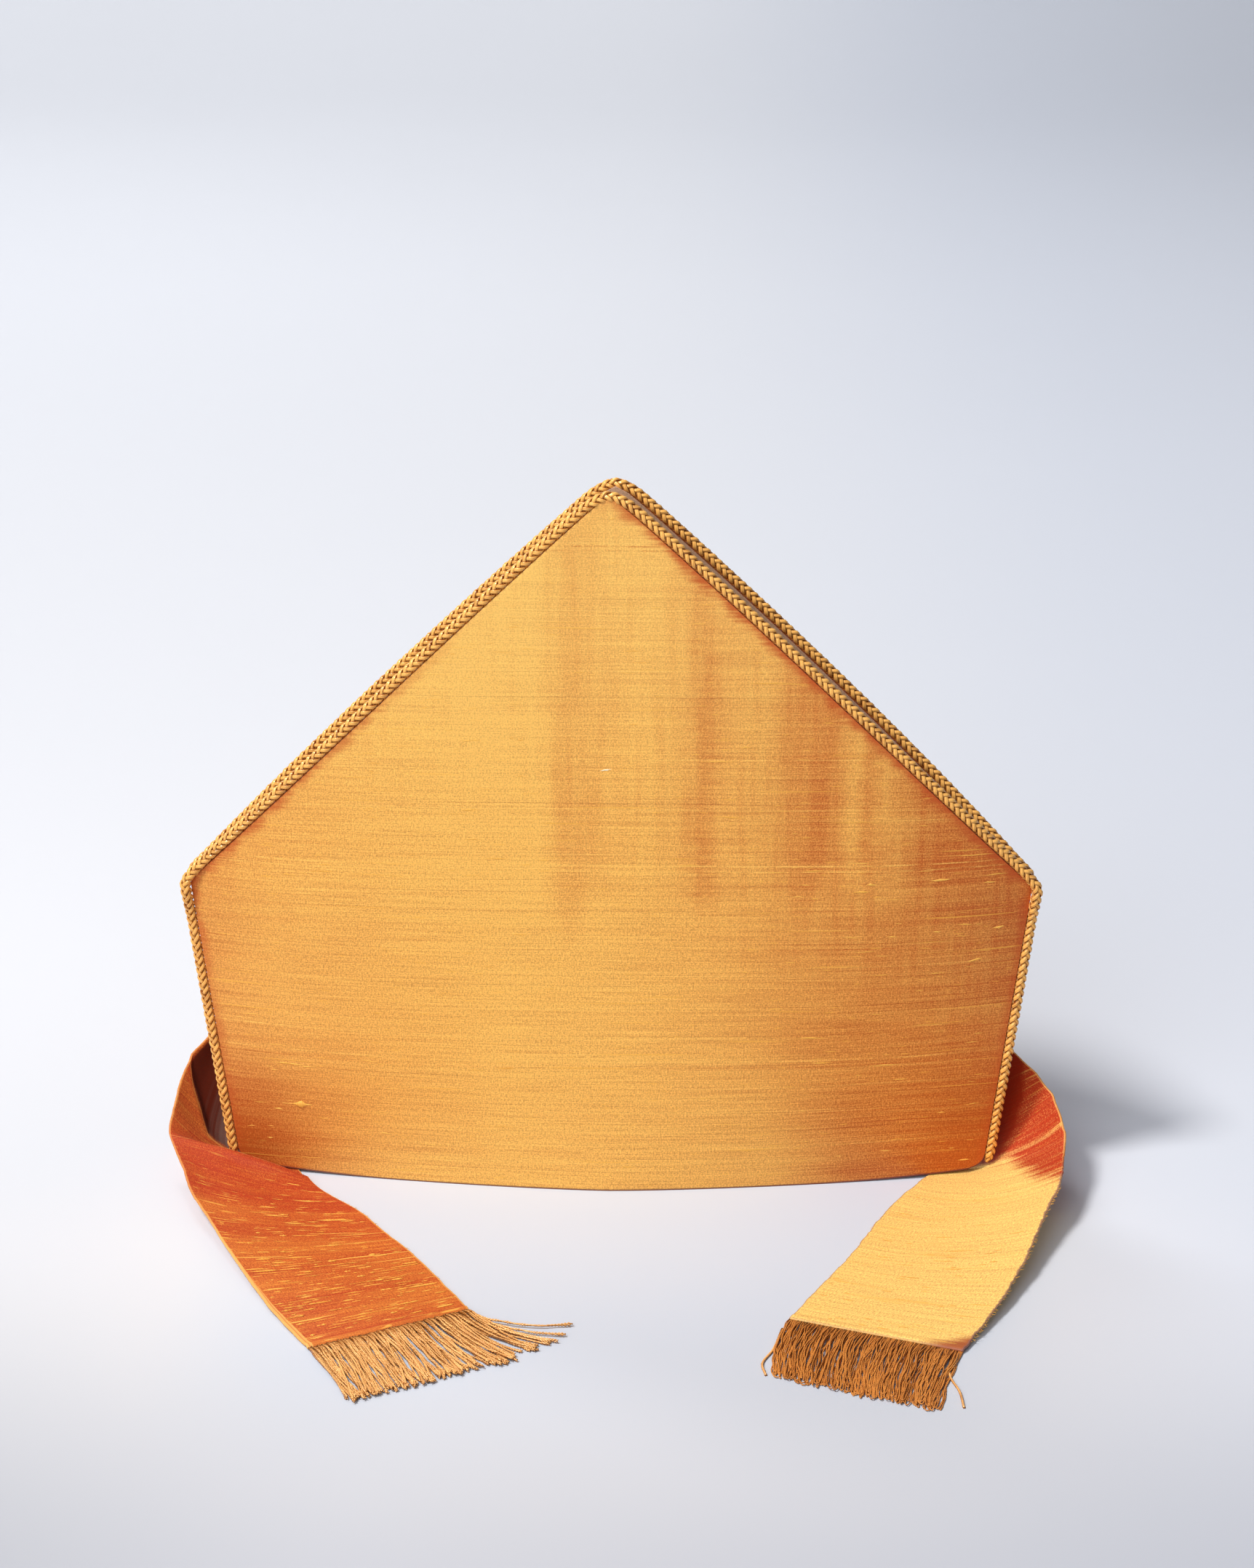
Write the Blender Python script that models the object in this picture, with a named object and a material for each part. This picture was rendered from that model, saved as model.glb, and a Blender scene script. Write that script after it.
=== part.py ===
"""Bishop mitre standing slightly open, with its two fringed lappets laid out in front.

Metres, +Z up, -Y towards the viewer. The origin is the centre of the bounding box's base.
"""
import math

import bmesh
import bpy
from mathutils import Vector

CM = 0.01
MM = 0.001
GAP = 0.3 * MM

# stiff panels
BASE_HALF = 14.4 * CM
SHOULDER_HALF = 15.84 * CM
BASE_Z = 0.6 * CM
SHOULDER_Z = 12.0 * CM
APEX_Z = 27.25 * CM
PANEL_THICK = 3.0 * MM
SEAM_HALF = 1.3 * MM
BOW_BASE = 17.4 * MM
BOW_TOP = 9.0 * MM
BOW_POWER_BASE = 1.45
BOW_POWER_TOP = 4.0
SLOPE_BULGE_LEFT = 1.8 * MM
SLOPE_BULGE_RIGHT = 2.5 * MM
APEX_ROUND = 2.4 * MM
SHOULDER_ROUND = 5.0 * MM
SHOULDER_DROP = 1.0 * MM
FLAT_HEM_HALF = 7.5 * CM
HEM_LIFT = 3.0 * MM
CORNER_ROUND = 7.5 * MM
CORNER_LIFT = 4.5 * MM
BACK_SHIFT_X = 1.9 * MM
PANEL_COLUMNS = 28
PANEL_ROWS = 14
SIDE_STEPS = 12
SLOPE_STEPS = 60
APEX_STEPS = 6
APEX_REACH = 7.2 * MM

# plaited cord on the edges
CORD_RADIUS = 2.15 * MM
CORD_TOLERANCE = 0.12 * MM
CORD_FOOT_Z = 5.0 * MM
CORD_SPREAD = CORD_RADIUS + GAP
CORD_PART_DROP = 14.0 * MM
CORD_PART_RISE = 11.0 * MM
BACK_CORD_START = 0.5 * MM
CORD_FOOT_TUCK = 0.6 * MM
CORD_END_SHARE = 0.8

# cloth folded down between the horns
GUSSET_THICK = 1.0 * MM
GUSSET_HALF = 14.1 * CM
GUSSET_FOLD_Z = 12.45 * CM
GUSSET_EDGE_DROP = 1.5 * MM
GUSSET_FOLD_RADIUS = 1.6 * MM
GUSSET_LEAST_RISE = 3.0 * MM
GUSSET_RISE_POWER = 1.5
GUSSET_SPREAD_POWER = 0.8
GUSSET_COLUMNS = 24
GUSSET_ROWS = 12

# lappets and their fringe
LAPPET_THICK = 1.0 * MM
FLOOR_CLEAR = 0.02 * MM
LAPPET_STEP = 6.5 * MM
LAPPET_ACROSS = 6
HEM_TUCK = 2.0 * MM
HEM_TUCK_TOP = 4.5 * MM
FRINGE_THICK = 2.2 * MM
FRINGE_HEAD = 2.0 * MM
FRINGE_ROWS = 5
LOCK_SHARE = 0.86
SWEEP_POWER = 1.3

# Each row is one station across a lappet, hem first and sewn end last, in centimetres:
# inner edge x, y, z; middle x, y, z; outer edge x, y, z.
LEFT_STATIONS = (
    (-4.80, -11.52, 0.08, -7.55, -12.99, 0.08, -10.30, -14.46, 0.08),
    (-6.10, -9.40, 0.08, -9.00, -10.60, 0.10, -11.90, -11.80, 0.18),
    (-7.40, -7.20, 0.08, -10.35, -8.15, 0.12, -13.30, -9.10, 0.35),
    (-8.70, -5.40, 0.08, -11.65, -5.90, 0.15, -14.60, -6.40, 0.60),
    (-9.90, -3.80, 0.08, -12.80, -4.00, 0.20, -15.70, -4.20, 0.90),
    (-10.80, -2.60, 0.08, -13.60, -2.60, 0.35, -16.30, -2.50, 1.20),
    (-11.30, -1.85, 0.10, -14.00, -1.65, 0.75, -16.70, -1.50, 1.45),
    (-11.60, -1.45, 0.22, -14.30, -1.15, 1.10, -17.00, -0.85, 1.65),
    (-11.80, -1.15, 0.10, -14.40, -0.75, 0.55, -17.05, -0.60, 1.80),
    (-12.00, -0.60, 0.08, -14.60, -0.30, 0.24, -17.00, -0.30, 2.05),
    (-12.40, 0.50, 0.08, -14.80, 0.35, 0.35, -16.90, 0.10, 2.50),
    (-12.60, 1.80, 0.08, -14.75, 1.25, 1.05, -16.78, 0.75, 3.02),
    (-12.50, 3.10, 0.08, -14.40, 2.45, 1.90, -16.50, 1.70, 3.62),
    (-12.00, 4.50, 0.08, -13.55, 3.95, 2.60, -15.50, 3.05, 4.40),
    (-11.10, 5.80, 0.08, -12.20, 5.60, 3.00, -13.70, 5.10, 5.20),
    (-9.80, 6.70, 0.08, -10.20, 7.10, 3.10, -10.90, 7.30, 5.70),
    (-8.50, 6.60, 0.08, -8.00, 7.30, 3.00, -7.70, 7.70, 5.60),
    (-7.80, 5.50, 0.08, -6.50, 6.20, 2.60, -5.50, 6.60, 4.70),
    (-7.90, 4.20, 0.08, -5.90, 4.60, 1.70, -4.20, 4.90, 3.20),
    (-8.20, 3.10, 0.10, -5.90, 3.30, 0.75, -3.70, 3.50, 1.50),
    (-8.40, 2.30, 0.16, -5.90, 2.50, 0.25, -3.50, 2.60, 0.40),
    (-8.40, 1.55, 0.45, -5.90, 1.85, 0.45, -3.45, 2.05, 0.50),
    (-8.40, 1.20, 1.50, -5.90, 1.50, 1.50, -3.45, 1.72, 1.50),
)
RIGHT_STATIONS = (
    (6.64, -11.95, 0.08, 9.67, -13.08, 0.08, 12.70, -14.21, 0.10),
    (7.90, -9.40, 0.08, 11.00, -10.50, 0.12, 14.10, -11.60, 0.45),
    (9.10, -6.90, 0.08, 12.25, -7.75, 0.18, 15.40, -8.50, 0.85),
    (10.20, -4.20, 0.08, 13.25, -5.10, 0.25, 16.30, -5.90, 1.30),
    (11.10, -2.30, 0.08, 14.00, -3.40, 0.32, 16.90, -4.35, 1.60),
    (11.80, -1.20, 0.08, 14.45, -2.20, 0.40, 17.15, -3.20, 1.85),
    (12.30, -0.30, 0.08, 14.70, -1.10, 0.42, 17.30, -2.20, 2.10),
    (12.60, 0.80, 0.08, 14.80, 0.00, 0.38, 17.35, -1.10, 2.45),
    (12.70, 2.00, 0.08, 14.80, 1.00, 0.90, 17.10, 0.00, 3.00),
    (12.60, 3.20, 0.08, 14.45, 2.20, 1.75, 16.50, 1.05, 3.65),
    (12.10, 4.50, 0.08, 13.70, 3.65, 2.50, 15.60, 2.30, 4.10),
    (11.30, 5.70, 0.08, 12.50, 5.20, 2.90, 14.10, 4.30, 4.90),
    (10.20, 6.60, 0.08, 10.80, 6.70, 3.10, 11.80, 6.60, 5.60),
    (8.90, 6.80, 0.08, 8.80, 7.40, 3.10, 8.90, 7.80, 5.80),
    (7.90, 5.90, 0.08, 7.00, 6.70, 2.80, 6.40, 7.20, 5.20),
    (7.80, 4.50, 0.08, 6.00, 5.00, 1.90, 4.60, 5.50, 3.70),
    (8.10, 3.20, 0.10, 5.90, 3.50, 0.85, 3.80, 3.70, 1.70),
    (8.40, 2.30, 0.16, 5.90, 2.50, 0.25, 3.50, 2.60, 0.40),
    (8.40, 1.55, 0.45, 5.90, 1.85, 0.45, 3.45, 2.05, 0.50),
    (8.40, 1.20, 1.50, 5.90, 1.50, 1.50, 3.45, 1.72, 1.50),
)
# Each row is one lock, from the hem's inner end to its outer end: length and sideways sweep in
# centimetres, width at the tip as a share of the lock's width at the head.
LEFT_LOCKS = (
    (2.7, 2.8, 0.8),
    (3.1, 2.7, 0.9),
    (3.4, 2.5, 1.0),
    (3.7, 2.3, 1.0),
    (3.8, 2.1, 1.0),
    (3.8, 1.9, 1.0),
    (3.8, 1.7, 1.0),
    (3.9, 1.4, 1.0),
    (3.9, 1.15, 1.0),
    (3.9, 0.9, 1.0),
    (4.0, 0.55, 1.0),
    (4.1, 0.1, 0.9),
)
RIGHT_LOCKS = (
    (4.1, -0.5, 1.0),
    (4.2, -0.2, 1.0),
    (4.1, -0.1, 1.0),
    (4.2, -0.2, 1.0),
    (4.1, -0.3, 1.0),
    (4.2, -0.3, 1.0),
    (4.1, -0.4, 1.0),
    (4.2, -0.5, 1.0),
    (4.1, -0.6, 1.0),
    (4.2, -0.7, 1.0),
    (4.1, -0.8, 0.9),
)

# name: base colour, roughness, metallic
FINISHES = {
    "front_silk": ((0.72, 0.36, 0.10), 0.45, 0.0),
    "back_silk": ((0.66, 0.31, 0.09), 0.45, 0.0),
    "gusset_cloth": ((0.30, 0.19, 0.14), 0.60, 0.0),
    "front_plait": ((0.62, 0.36, 0.10), 0.38, 0.2),
    "back_plait": ((0.60, 0.34, 0.10), 0.38, 0.2),
    "left_silk": ((0.66, 0.18, 0.05), 0.45, 0.0),
    "right_silk": ((0.80, 0.48, 0.16), 0.45, 0.0),
    "left_strands": ((0.62, 0.42, 0.20), 0.40, 0.0),
    "right_strands": ((0.42, 0.22, 0.09), 0.45, 0.0),
}


def clear_scene():
    for ob in list(bpy.data.objects):
        bpy.data.objects.remove(ob, do_unlink=True)


def finish(name):
    colour, rough, metal = FINISHES[name]
    mat = bpy.data.materials.new(name)
    mat.use_nodes = True
    shader = mat.node_tree.nodes["Principled BSDF"]
    shader.inputs["Base Color"].default_value = (*colour, 1.0)
    shader.inputs["Roughness"].default_value = rough
    shader.inputs["Metallic"].default_value = metal
    mat.diffuse_color = (*colour, 1.0)
    return mat


def add_object(name, data, slot):
    ob = bpy.data.objects.new(name, data)
    bpy.context.scene.collection.objects.link(ob)
    ob.data.materials.append(finish(slot))
    return ob


def clamp(value, low, high):
    return max(low, min(high, value))


def smooth(value):
    value = clamp(value, 0.0, 1.0)
    return value * value * (3.0 - 2.0 * value)


# --- the mitre's form -----------------------------------------------------------------------

def half_width(z):
    share = clamp((z - BASE_Z) / (SHOULDER_Z - BASE_Z), -0.1, 1.0)
    return BASE_HALF + (SHOULDER_HALF - BASE_HALF) * share


def outer_y(x, z):
    """Distance of a panel's outer face from the plane of the side seams."""
    bow = BOW_BASE + (BOW_TOP - BOW_BASE) * clamp(z / APEX_Z, 0.0, 1.0)
    power = BOW_POWER_BASE + (BOW_POWER_TOP - BOW_POWER_BASE) * clamp(z / SHOULDER_Z, 0.0, 1.0)
    u = min(abs(x) / half_width(z), 1.0)
    return SEAM_HALF + bow * (1.0 - u ** power)


def inner_y(x, z):
    return max(outer_y(x, z) - PANEL_THICK, GAP / 2)


def slope_z(x):
    """Height of the sloping upper edge over x."""
    soft = math.sqrt(x * x + APEX_ROUND ** 2) - APEX_ROUND
    full = math.sqrt(SHOULDER_HALF ** 2 + APEX_ROUND ** 2) - APEX_ROUND
    t = min(soft / full, 1.0)
    bulge = SLOPE_BULGE_LEFT if x < 0 else SLOPE_BULGE_RIGHT
    z = APEX_Z - (APEX_Z - SHOULDER_Z) * t + bulge * 4.0 * t * (1.0 - t)
    q = clamp((abs(x) - SHOULDER_HALF + SHOULDER_ROUND) / SHOULDER_ROUND, 0.0, 1.0)
    return z - SHOULDER_DROP * (1.0 - math.sqrt(1.0 - q * q))


def hem_z(x):
    """Height of the lower edge: flat in the middle, lifting to rounded corners."""
    s = clamp((abs(x) - FLAT_HEM_HALF) / (BASE_HALF - FLAT_HEM_HALF), 0.0, 1.0)
    q = clamp((abs(x) - BASE_HALF + CORNER_ROUND) / CORNER_ROUND, 0.0, 1.0)
    return HEM_LIFT * s * s + CORNER_LIFT * (1.0 - math.sqrt(1.0 - q * q))


def horn_shift(z, shift):
    return shift * clamp((z - SHOULDER_Z) / (APEX_Z - SHOULDER_Z), 0.0, 1.0)


def build_panel(name, side, shift, slot):
    """A curved pentagon: the outer skin, a second skin inside it, and the edge that joins them."""
    bm = bmesh.new()
    bmesh.ops.create_grid(bm, x_segments=PANEL_COLUMNS, y_segments=PANEL_ROWS, size=1.0)
    for v in bm.verts:
        across = math.sin(v.co.x * math.pi / 2)
        up = (v.co.y + 1.0) / 2
        low = hem_z(across * BASE_HALF)
        high = slope_z(across * SHOULDER_HALF)
        z = low + (high - low) * up
        x = across * half_width(z)
        v.co = Vector((x, side * outer_y(x, z), z))
    outer = list(bm.verts)
    copy = bmesh.ops.duplicate(bm, geom=bm.verts[:] + bm.edges[:] + bm.faces[:])
    for v in outer:
        v.co.x += horn_shift(v.co.z, shift)
    for v in [g for g in copy["geom"] if isinstance(g, bmesh.types.BMVert)]:
        v.co.y = side * inner_y(v.co.x, v.co.z)
        v.co.x += horn_shift(v.co.z, shift)
    rim = [e for e in bm.edges if len(e.link_faces) == 1]
    bmesh.ops.bridge_loops(bm, edges=rim)
    bmesh.ops.recalc_face_normals(bm, faces=bm.faces[:])
    mesh = bpy.data.meshes.new(name)
    bm.to_mesh(mesh)
    bm.free()
    return add_object(name, mesh, slot)


# --- cords ------------------------------------------------------------------------------------

def outline_points():
    """The panels' edge from the left foot over the apex to the right foot, in x and z."""
    low = hem_z(BASE_HALF)
    high = slope_z(SHOULDER_HALF)
    heights = [low + (high - low) * k / SIDE_STEPS for k in range(SIDE_STEPS + 1)]
    places = [-SHOULDER_HALF * math.cos(math.pi * k / SLOPE_STEPS) for k in range(1, SLOPE_STEPS)]
    places += [APEX_REACH * (k + 0.5) / APEX_STEPS for k in range(-APEX_STEPS, APEX_STEPS)]
    left = [(-half_width(z), z) for z in heights]
    right = [(half_width(z), z) for z in reversed(heights)]
    return left + [(x, slope_z(x)) for x in sorted(places)] + right


def offset_outline(distance):
    """Each outline point pushed outwards, then the point itself: x, z, outline x, outline z."""
    points = outline_points()
    result = []
    for i, (x, z) in enumerate(points):
        x0, z0 = points[max(i - 1, 0)]
        x1, z1 = points[min(i + 1, len(points) - 1)]
        length = math.hypot(x1 - x0, z1 - z0)
        normal_x = -(z1 - z0) / length
        normal_z = (x1 - x0) / length
        result.append((x + normal_x * distance, z + normal_z * distance, x, z))
    return result


def thin_out(points, tolerance):
    """Leave out points that lie within the tolerance of a straight line."""
    first = points[0]
    last = points[-1]
    line = last - first
    worst = 0.0
    place = 0
    for i in range(1, len(points) - 1):
        share = clamp((points[i] - first).dot(line) / line.length_squared, 0.0, 1.0)
        away = (points[i] - (first + line * share)).length
        if away > worst:
            worst = away
            place = i
    if worst <= tolerance:
        return [first, last]
    return thin_out(points[:place + 1], tolerance)[:-1] + thin_out(points[place:], tolerance)


def cord_side(x, z, side):
    """How far a cord stands from the seam plane beside the panel edge at x, z."""
    parted = smooth((z - SHOULDER_Z + CORD_PART_DROP) / CORD_PART_RISE)
    middle = outer_y(x, z) - PANEL_THICK / 2
    return side * max(middle, CORD_SPREAD) * parted


def cord_path(side, whole, shift):
    """The middle line of a cord: down both side seams if whole, else over the slopes alone."""
    path = []
    for px, pz, x, z in offset_outline(CORD_SPREAD):
        if whole or z >= SHOULDER_Z + BACK_CORD_START:
            path.append(Vector((px + horn_shift(z, shift), cord_side(x, z, side), pz)))
    if whole:
        foot_x = half_width(CORD_FOOT_Z) + CORD_SPREAD - CORD_FOOT_TUCK
        path.insert(0, Vector((-foot_x, 0.0, CORD_FOOT_Z)))
        path.append(Vector((foot_x, 0.0, CORD_FOOT_Z)))
    return path


def build_cord(name, path, slot):
    curve = bpy.data.curves.new(name, "CURVE")
    curve.dimensions = "3D"
    curve.bevel_depth = CORD_RADIUS
    curve.bevel_resolution = 2
    curve.use_fill_caps = True
    points = thin_out(path, CORD_TOLERANCE)
    spline = curve.splines.new("POLY")
    spline.points.add(len(points) - 1)
    for i, point in enumerate(points):
        spline.points[i].co = (*point, 1.0)
    spline.points[0].radius = CORD_END_SHARE
    spline.points[len(points) - 1].radius = CORD_END_SHARE
    return add_object(name, curve, slot)


# --- gusset -----------------------------------------------------------------------------------

def gusset_point(x, side, rise):
    """A point on the folded cloth: rise is 0 at the fold and 1 at a horn's sloping edge."""
    top = slope_z(x) - GUSSET_EDGE_DROP
    fold = min(GUSSET_FOLD_Z, top - GUSSET_LEAST_RISE)
    z = fold + (top - fold) * rise ** GUSSET_RISE_POWER
    wall = inner_y(x, z) - GAP - GUSSET_THICK / 2
    spread = inner_y(x, top) * rise ** GUSSET_SPREAD_POWER
    turn = GUSSET_FOLD_RADIUS * min(rise * GUSSET_ROWS / 2, 1.0) if rise else 0.0
    lean = 1.0 if side > 0 and rise else 0.5
    return Vector((x + lean * horn_shift(z, BACK_SHIFT_X), side * min(wall, spread + turn), z))


def build_gusset():
    """A strip of cloth that hangs from the front slopes, folds and rises to the back slopes."""
    bm = bmesh.new()
    bmesh.ops.create_grid(bm, x_segments=GUSSET_COLUMNS, y_segments=GUSSET_ROWS, size=1.0)
    for v in bm.verts:
        side = -1.0 if v.co.y < 0 else 1.0
        rise = round(abs(v.co.y) * GUSSET_ROWS / 2) / (GUSSET_ROWS / 2)
        v.co = gusset_point(math.sin(v.co.x * math.pi / 2) * GUSSET_HALF, side, rise)
    mesh = bpy.data.meshes.new("gusset")
    bm.to_mesh(mesh)
    bm.free()
    ob = add_object("gusset", mesh, "gusset_cloth")
    thicken(ob, GUSSET_THICK)
    return ob


def thicken(ob, thickness):
    """Give a sheet its thickness, half of it to each side."""
    solid = ob.modifiers.new("cloth", "SOLIDIFY")
    solid.thickness = thickness
    solid.offset = 0.0
    solid.use_even_offset = True
    solid.use_rim = True


# --- lappets ----------------------------------------------------------------------------------

def through(p0, p1, p2, p3, t):
    """A point on the smooth curve from p1 to p2, with knots spaced by distance."""
    k0 = 0.0
    k1 = k0 + max((p1 - p0).length, 1e-5) ** 0.5
    k2 = k1 + max((p2 - p1).length, 1e-5) ** 0.5
    k3 = k2 + max((p3 - p2).length, 1e-5) ** 0.5
    k = k1 + (k2 - k1) * t
    a1 = p0 * ((k1 - k) / (k1 - k0)) + p1 * ((k - k0) / (k1 - k0))
    a2 = p1 * ((k2 - k) / (k2 - k1)) + p2 * ((k - k1) / (k2 - k1))
    a3 = p2 * ((k3 - k) / (k3 - k2)) + p3 * ((k - k2) / (k3 - k2))
    b1 = a1 * ((k2 - k) / (k2 - k0)) + a2 * ((k - k0) / (k2 - k0))
    b2 = a2 * ((k3 - k) / (k3 - k1)) + a3 * ((k - k1) / (k3 - k1))
    return b1 * ((k2 - k) / (k2 - k1)) + b2 * ((k - k1) / (k2 - k1))


def clear_of_mitre(point):
    """Keep the cloth above the floor and outside the panels, or under their lifted corners."""
    lowest = LAPPET_THICK / 2 + FLOOR_CLEAR
    margin = LAPPET_THICK / 2 + 2 * GAP
    x = point.x
    y = point.y
    z = max(point.z, lowest)
    if abs(x) < half_width(z) and z + margin > hem_z(x) and abs(y) < outer_y(x, z) + margin:
        if z < min(hem_z(x) + HEM_TUCK, HEM_TUCK_TOP):
            z = max(hem_z(x) - margin, lowest)
        else:
            y = math.copysign(outer_y(x, z) + margin, y)
    return Vector((x, y, z))


def lappet_point(columns, row, t, v):
    """A point on a lappet: row and t run along it, v from the inner edge to the outer edge."""
    last = len(columns[0]) - 1
    spots = []
    for column in columns:
        p1 = column[row]
        p2 = column[row + 1]
        p0 = column[row - 1] if row else p1 * 2 - p2
        p3 = column[row + 2] if row + 2 <= last else p2 * 2 - p1
        spots.append(through(p0, p1, p2, p3, t))
    inner, middle, outer = spots
    point = (inner * ((1 - v) * (1 - 2 * v)) + middle * (4 * v * (1 - v))
             + outer * (v * (2 * v - 1)))
    return clear_of_mitre(point)


def station_columns(stations):
    """The inner, middle and outer points of all stations."""
    return [[Vector(row[k:k + 3]) * CM for row in stations] for k in (0, 3, 6)]


def build_lappet(name, stations, slot):
    columns = station_columns(stations)
    stops = []
    for row in range(len(stations) - 1):
        span = (columns[1][row + 1] - columns[1][row]).length
        steps = max(2, round(span / LAPPET_STEP))
        stops += [(row, k / steps) for k in range(steps)]
    stops.append((len(stations) - 2, 1.0))
    bm = bmesh.new()
    bmesh.ops.create_grid(bm, x_segments=LAPPET_ACROSS, y_segments=len(stops) - 1, size=1.0)
    for v in bm.verts:
        across = (v.co.x + 1.0) / 2
        row, t = stops[round((v.co.y + 1.0) / 2 * (len(stops) - 1))]
        v.co = lappet_point(columns, row, t, across)
    mesh = bpy.data.meshes.new(name)
    bm.to_mesh(mesh)
    bm.free()
    ob = add_object(name, mesh, slot)
    thicken(ob, LAPPET_THICK)
    return ob


# --- fringe -----------------------------------------------------------------------------------

def fringe_point(inner, outer, locks, line, row):
    """A point on a fringe: two lines to each lock, row 0 at the hem and row 1 at the head's end."""
    along = (outer - inner).normalized()
    away = Vector((along.y, -along.x, 0.0))
    if away.y > 0:
        away = -away
    sweep = (Vector((1.0, 0.0, 0.0)) - away * away.x).normalized()
    spacing = (outer - inner).length / len(locks)
    length, lean, tip = locks[line // 2]
    share = max(row - 1, 0) / FRINGE_ROWS
    out = FRINGE_HEAD * min(row, 1) + (length * CM - FRINGE_HEAD) * share
    half = (line % 2 - 0.5) * spacing * LOCK_SHARE * (1.0 + (tip - 1.0) * share)
    spot = inner + along * (spacing * (line // 2 + 0.5) + half) + away * (GAP * 2 + out)
    spot += sweep * (lean * CM * share ** SWEEP_POWER)
    spot.z = FRINGE_THICK / 2 + FLOOR_CLEAR
    return spot


def build_fringe(name, stations, locks, slot):
    """Locks fused to one head along the hem, lying on the floor: a comb cut from a grid."""
    inner = Vector((stations[0][0], stations[0][1], 0.0)) * CM
    outer = Vector((stations[0][6], stations[0][7], 0.0)) * CM
    columns = 2 * len(locks) - 1
    rows = 1 + FRINGE_ROWS
    bm = bmesh.new()
    bmesh.ops.create_grid(bm, x_segments=columns, y_segments=rows, size=1.0)
    between = []
    for face in bm.faces:
        middle = face.calc_center_median()
        column = int((middle.x + 1.0) / 2 * columns)
        if column % 2 and int((middle.y + 1.0) / 2 * rows) > 0:
            between.append(face)
    for v in bm.verts:
        line = round((v.co.x + 1.0) / 2 * columns)
        row = round((v.co.y + 1.0) / 2 * rows)
        v.co = fringe_point(inner, outer, locks, line, row)
    bmesh.ops.delete(bm, geom=between, context="FACES")
    mesh = bpy.data.meshes.new(name)
    bm.to_mesh(mesh)
    bm.free()
    ob = add_object(name, mesh, slot)
    thicken(ob, FRINGE_THICK)
    return ob


# --- all of it --------------------------------------------------------------------------------

def centre_on_base(objects):
    """Move everything so that the bounding box's base centre is the origin."""
    bpy.context.view_layer.update()
    graph = bpy.context.evaluated_depsgraph_get()
    low = Vector((1e9, 1e9, 1e9))
    high = -low
    for ob in objects:
        shape = ob.evaluated_get(graph)
        mesh = shape.to_mesh()
        for v in mesh.vertices:
            for axis in range(3):
                low[axis] = min(low[axis], v.co[axis])
                high[axis] = max(high[axis], v.co[axis])
        shape.to_mesh_clear()
    shift = Vector(((low.x + high.x) / 2, (low.y + high.y) / 2, low.z))
    for ob in objects:
        ob.location = -shift


def main():
    clear_scene()
    parts = [
        build_panel("front_panel", -1.0, 0.0, "front_silk"),
        build_panel("back_panel", 1.0, BACK_SHIFT_X, "back_silk"),
        build_gusset(),
        build_cord("front_cord", cord_path(-1.0, True, 0.0), "front_plait"),
        build_cord("back_cord", cord_path(1.0, False, BACK_SHIFT_X), "back_plait"),
        build_lappet("left_lappet", LEFT_STATIONS, "left_silk"),
        build_lappet("right_lappet", RIGHT_STATIONS, "right_silk"),
        build_fringe("left_fringe", LEFT_STATIONS, LEFT_LOCKS, "left_strands"),
        build_fringe("right_fringe", RIGHT_STATIONS, RIGHT_LOCKS, "right_strands"),
    ]
    centre_on_base(parts)


main()
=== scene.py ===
"""Bishop mitre of shot silk with plaited cord and two fringed lappets, dressed over its frame.

Metres, +Z up, -Y towards the viewer. Shapes are worked out round the mitre's own middle, with the
side seams in the plane y = 0, and every finished piece is moved to the frame's place.
"""
import math
import random

import bmesh
import bpy
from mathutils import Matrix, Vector, noise


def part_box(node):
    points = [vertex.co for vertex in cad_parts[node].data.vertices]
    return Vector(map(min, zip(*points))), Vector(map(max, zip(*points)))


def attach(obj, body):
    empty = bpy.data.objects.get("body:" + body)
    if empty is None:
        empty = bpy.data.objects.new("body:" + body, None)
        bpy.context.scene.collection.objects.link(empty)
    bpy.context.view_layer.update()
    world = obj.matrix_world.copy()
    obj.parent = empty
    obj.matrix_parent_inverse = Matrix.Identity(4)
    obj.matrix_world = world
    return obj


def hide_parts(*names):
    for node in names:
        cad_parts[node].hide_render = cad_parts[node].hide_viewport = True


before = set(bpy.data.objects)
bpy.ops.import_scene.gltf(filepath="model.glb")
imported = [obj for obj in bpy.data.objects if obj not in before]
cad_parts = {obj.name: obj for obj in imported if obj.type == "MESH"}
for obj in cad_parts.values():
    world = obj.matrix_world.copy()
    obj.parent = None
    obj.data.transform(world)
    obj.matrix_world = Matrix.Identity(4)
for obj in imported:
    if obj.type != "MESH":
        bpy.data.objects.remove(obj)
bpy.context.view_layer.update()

CM = 0.01
MM = 0.001
UP = Vector((0.0, 0.0, 1.0))
TO_VIEWER = Vector((0.0, -1.0, 0.0))
# The two sides of the plane of the side seams.
FRONT = -1.0
BACK = 1.0

# --- camera ---------------------------------------------------------------------------------

PHOTO_HEIGHT_PX = 2156
FOCAL_PX = 5030
SENSOR_MM = 36.0
CAMERA_PLACE = Vector((3.14, -122.56, 63.7)) * CM
CAMERA_TILT = 69.5
CAMERA_TURN = 1.2

lens = bpy.data.cameras.new("camera")
lens.sensor_width = SENSOR_MM
lens.lens = SENSOR_MM * FOCAL_PX / PHOTO_HEIGHT_PX
camera = bpy.data.objects.new("camera", lens)
camera.location = CAMERA_PLACE
camera.rotation_euler = (math.radians(CAMERA_TILT), 0.0, math.radians(CAMERA_TURN))
bpy.context.scene.collection.objects.link(camera)
bpy.context.scene.camera = camera

# --- the mitre's sizes -----------------------------------------------------------------------

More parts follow.
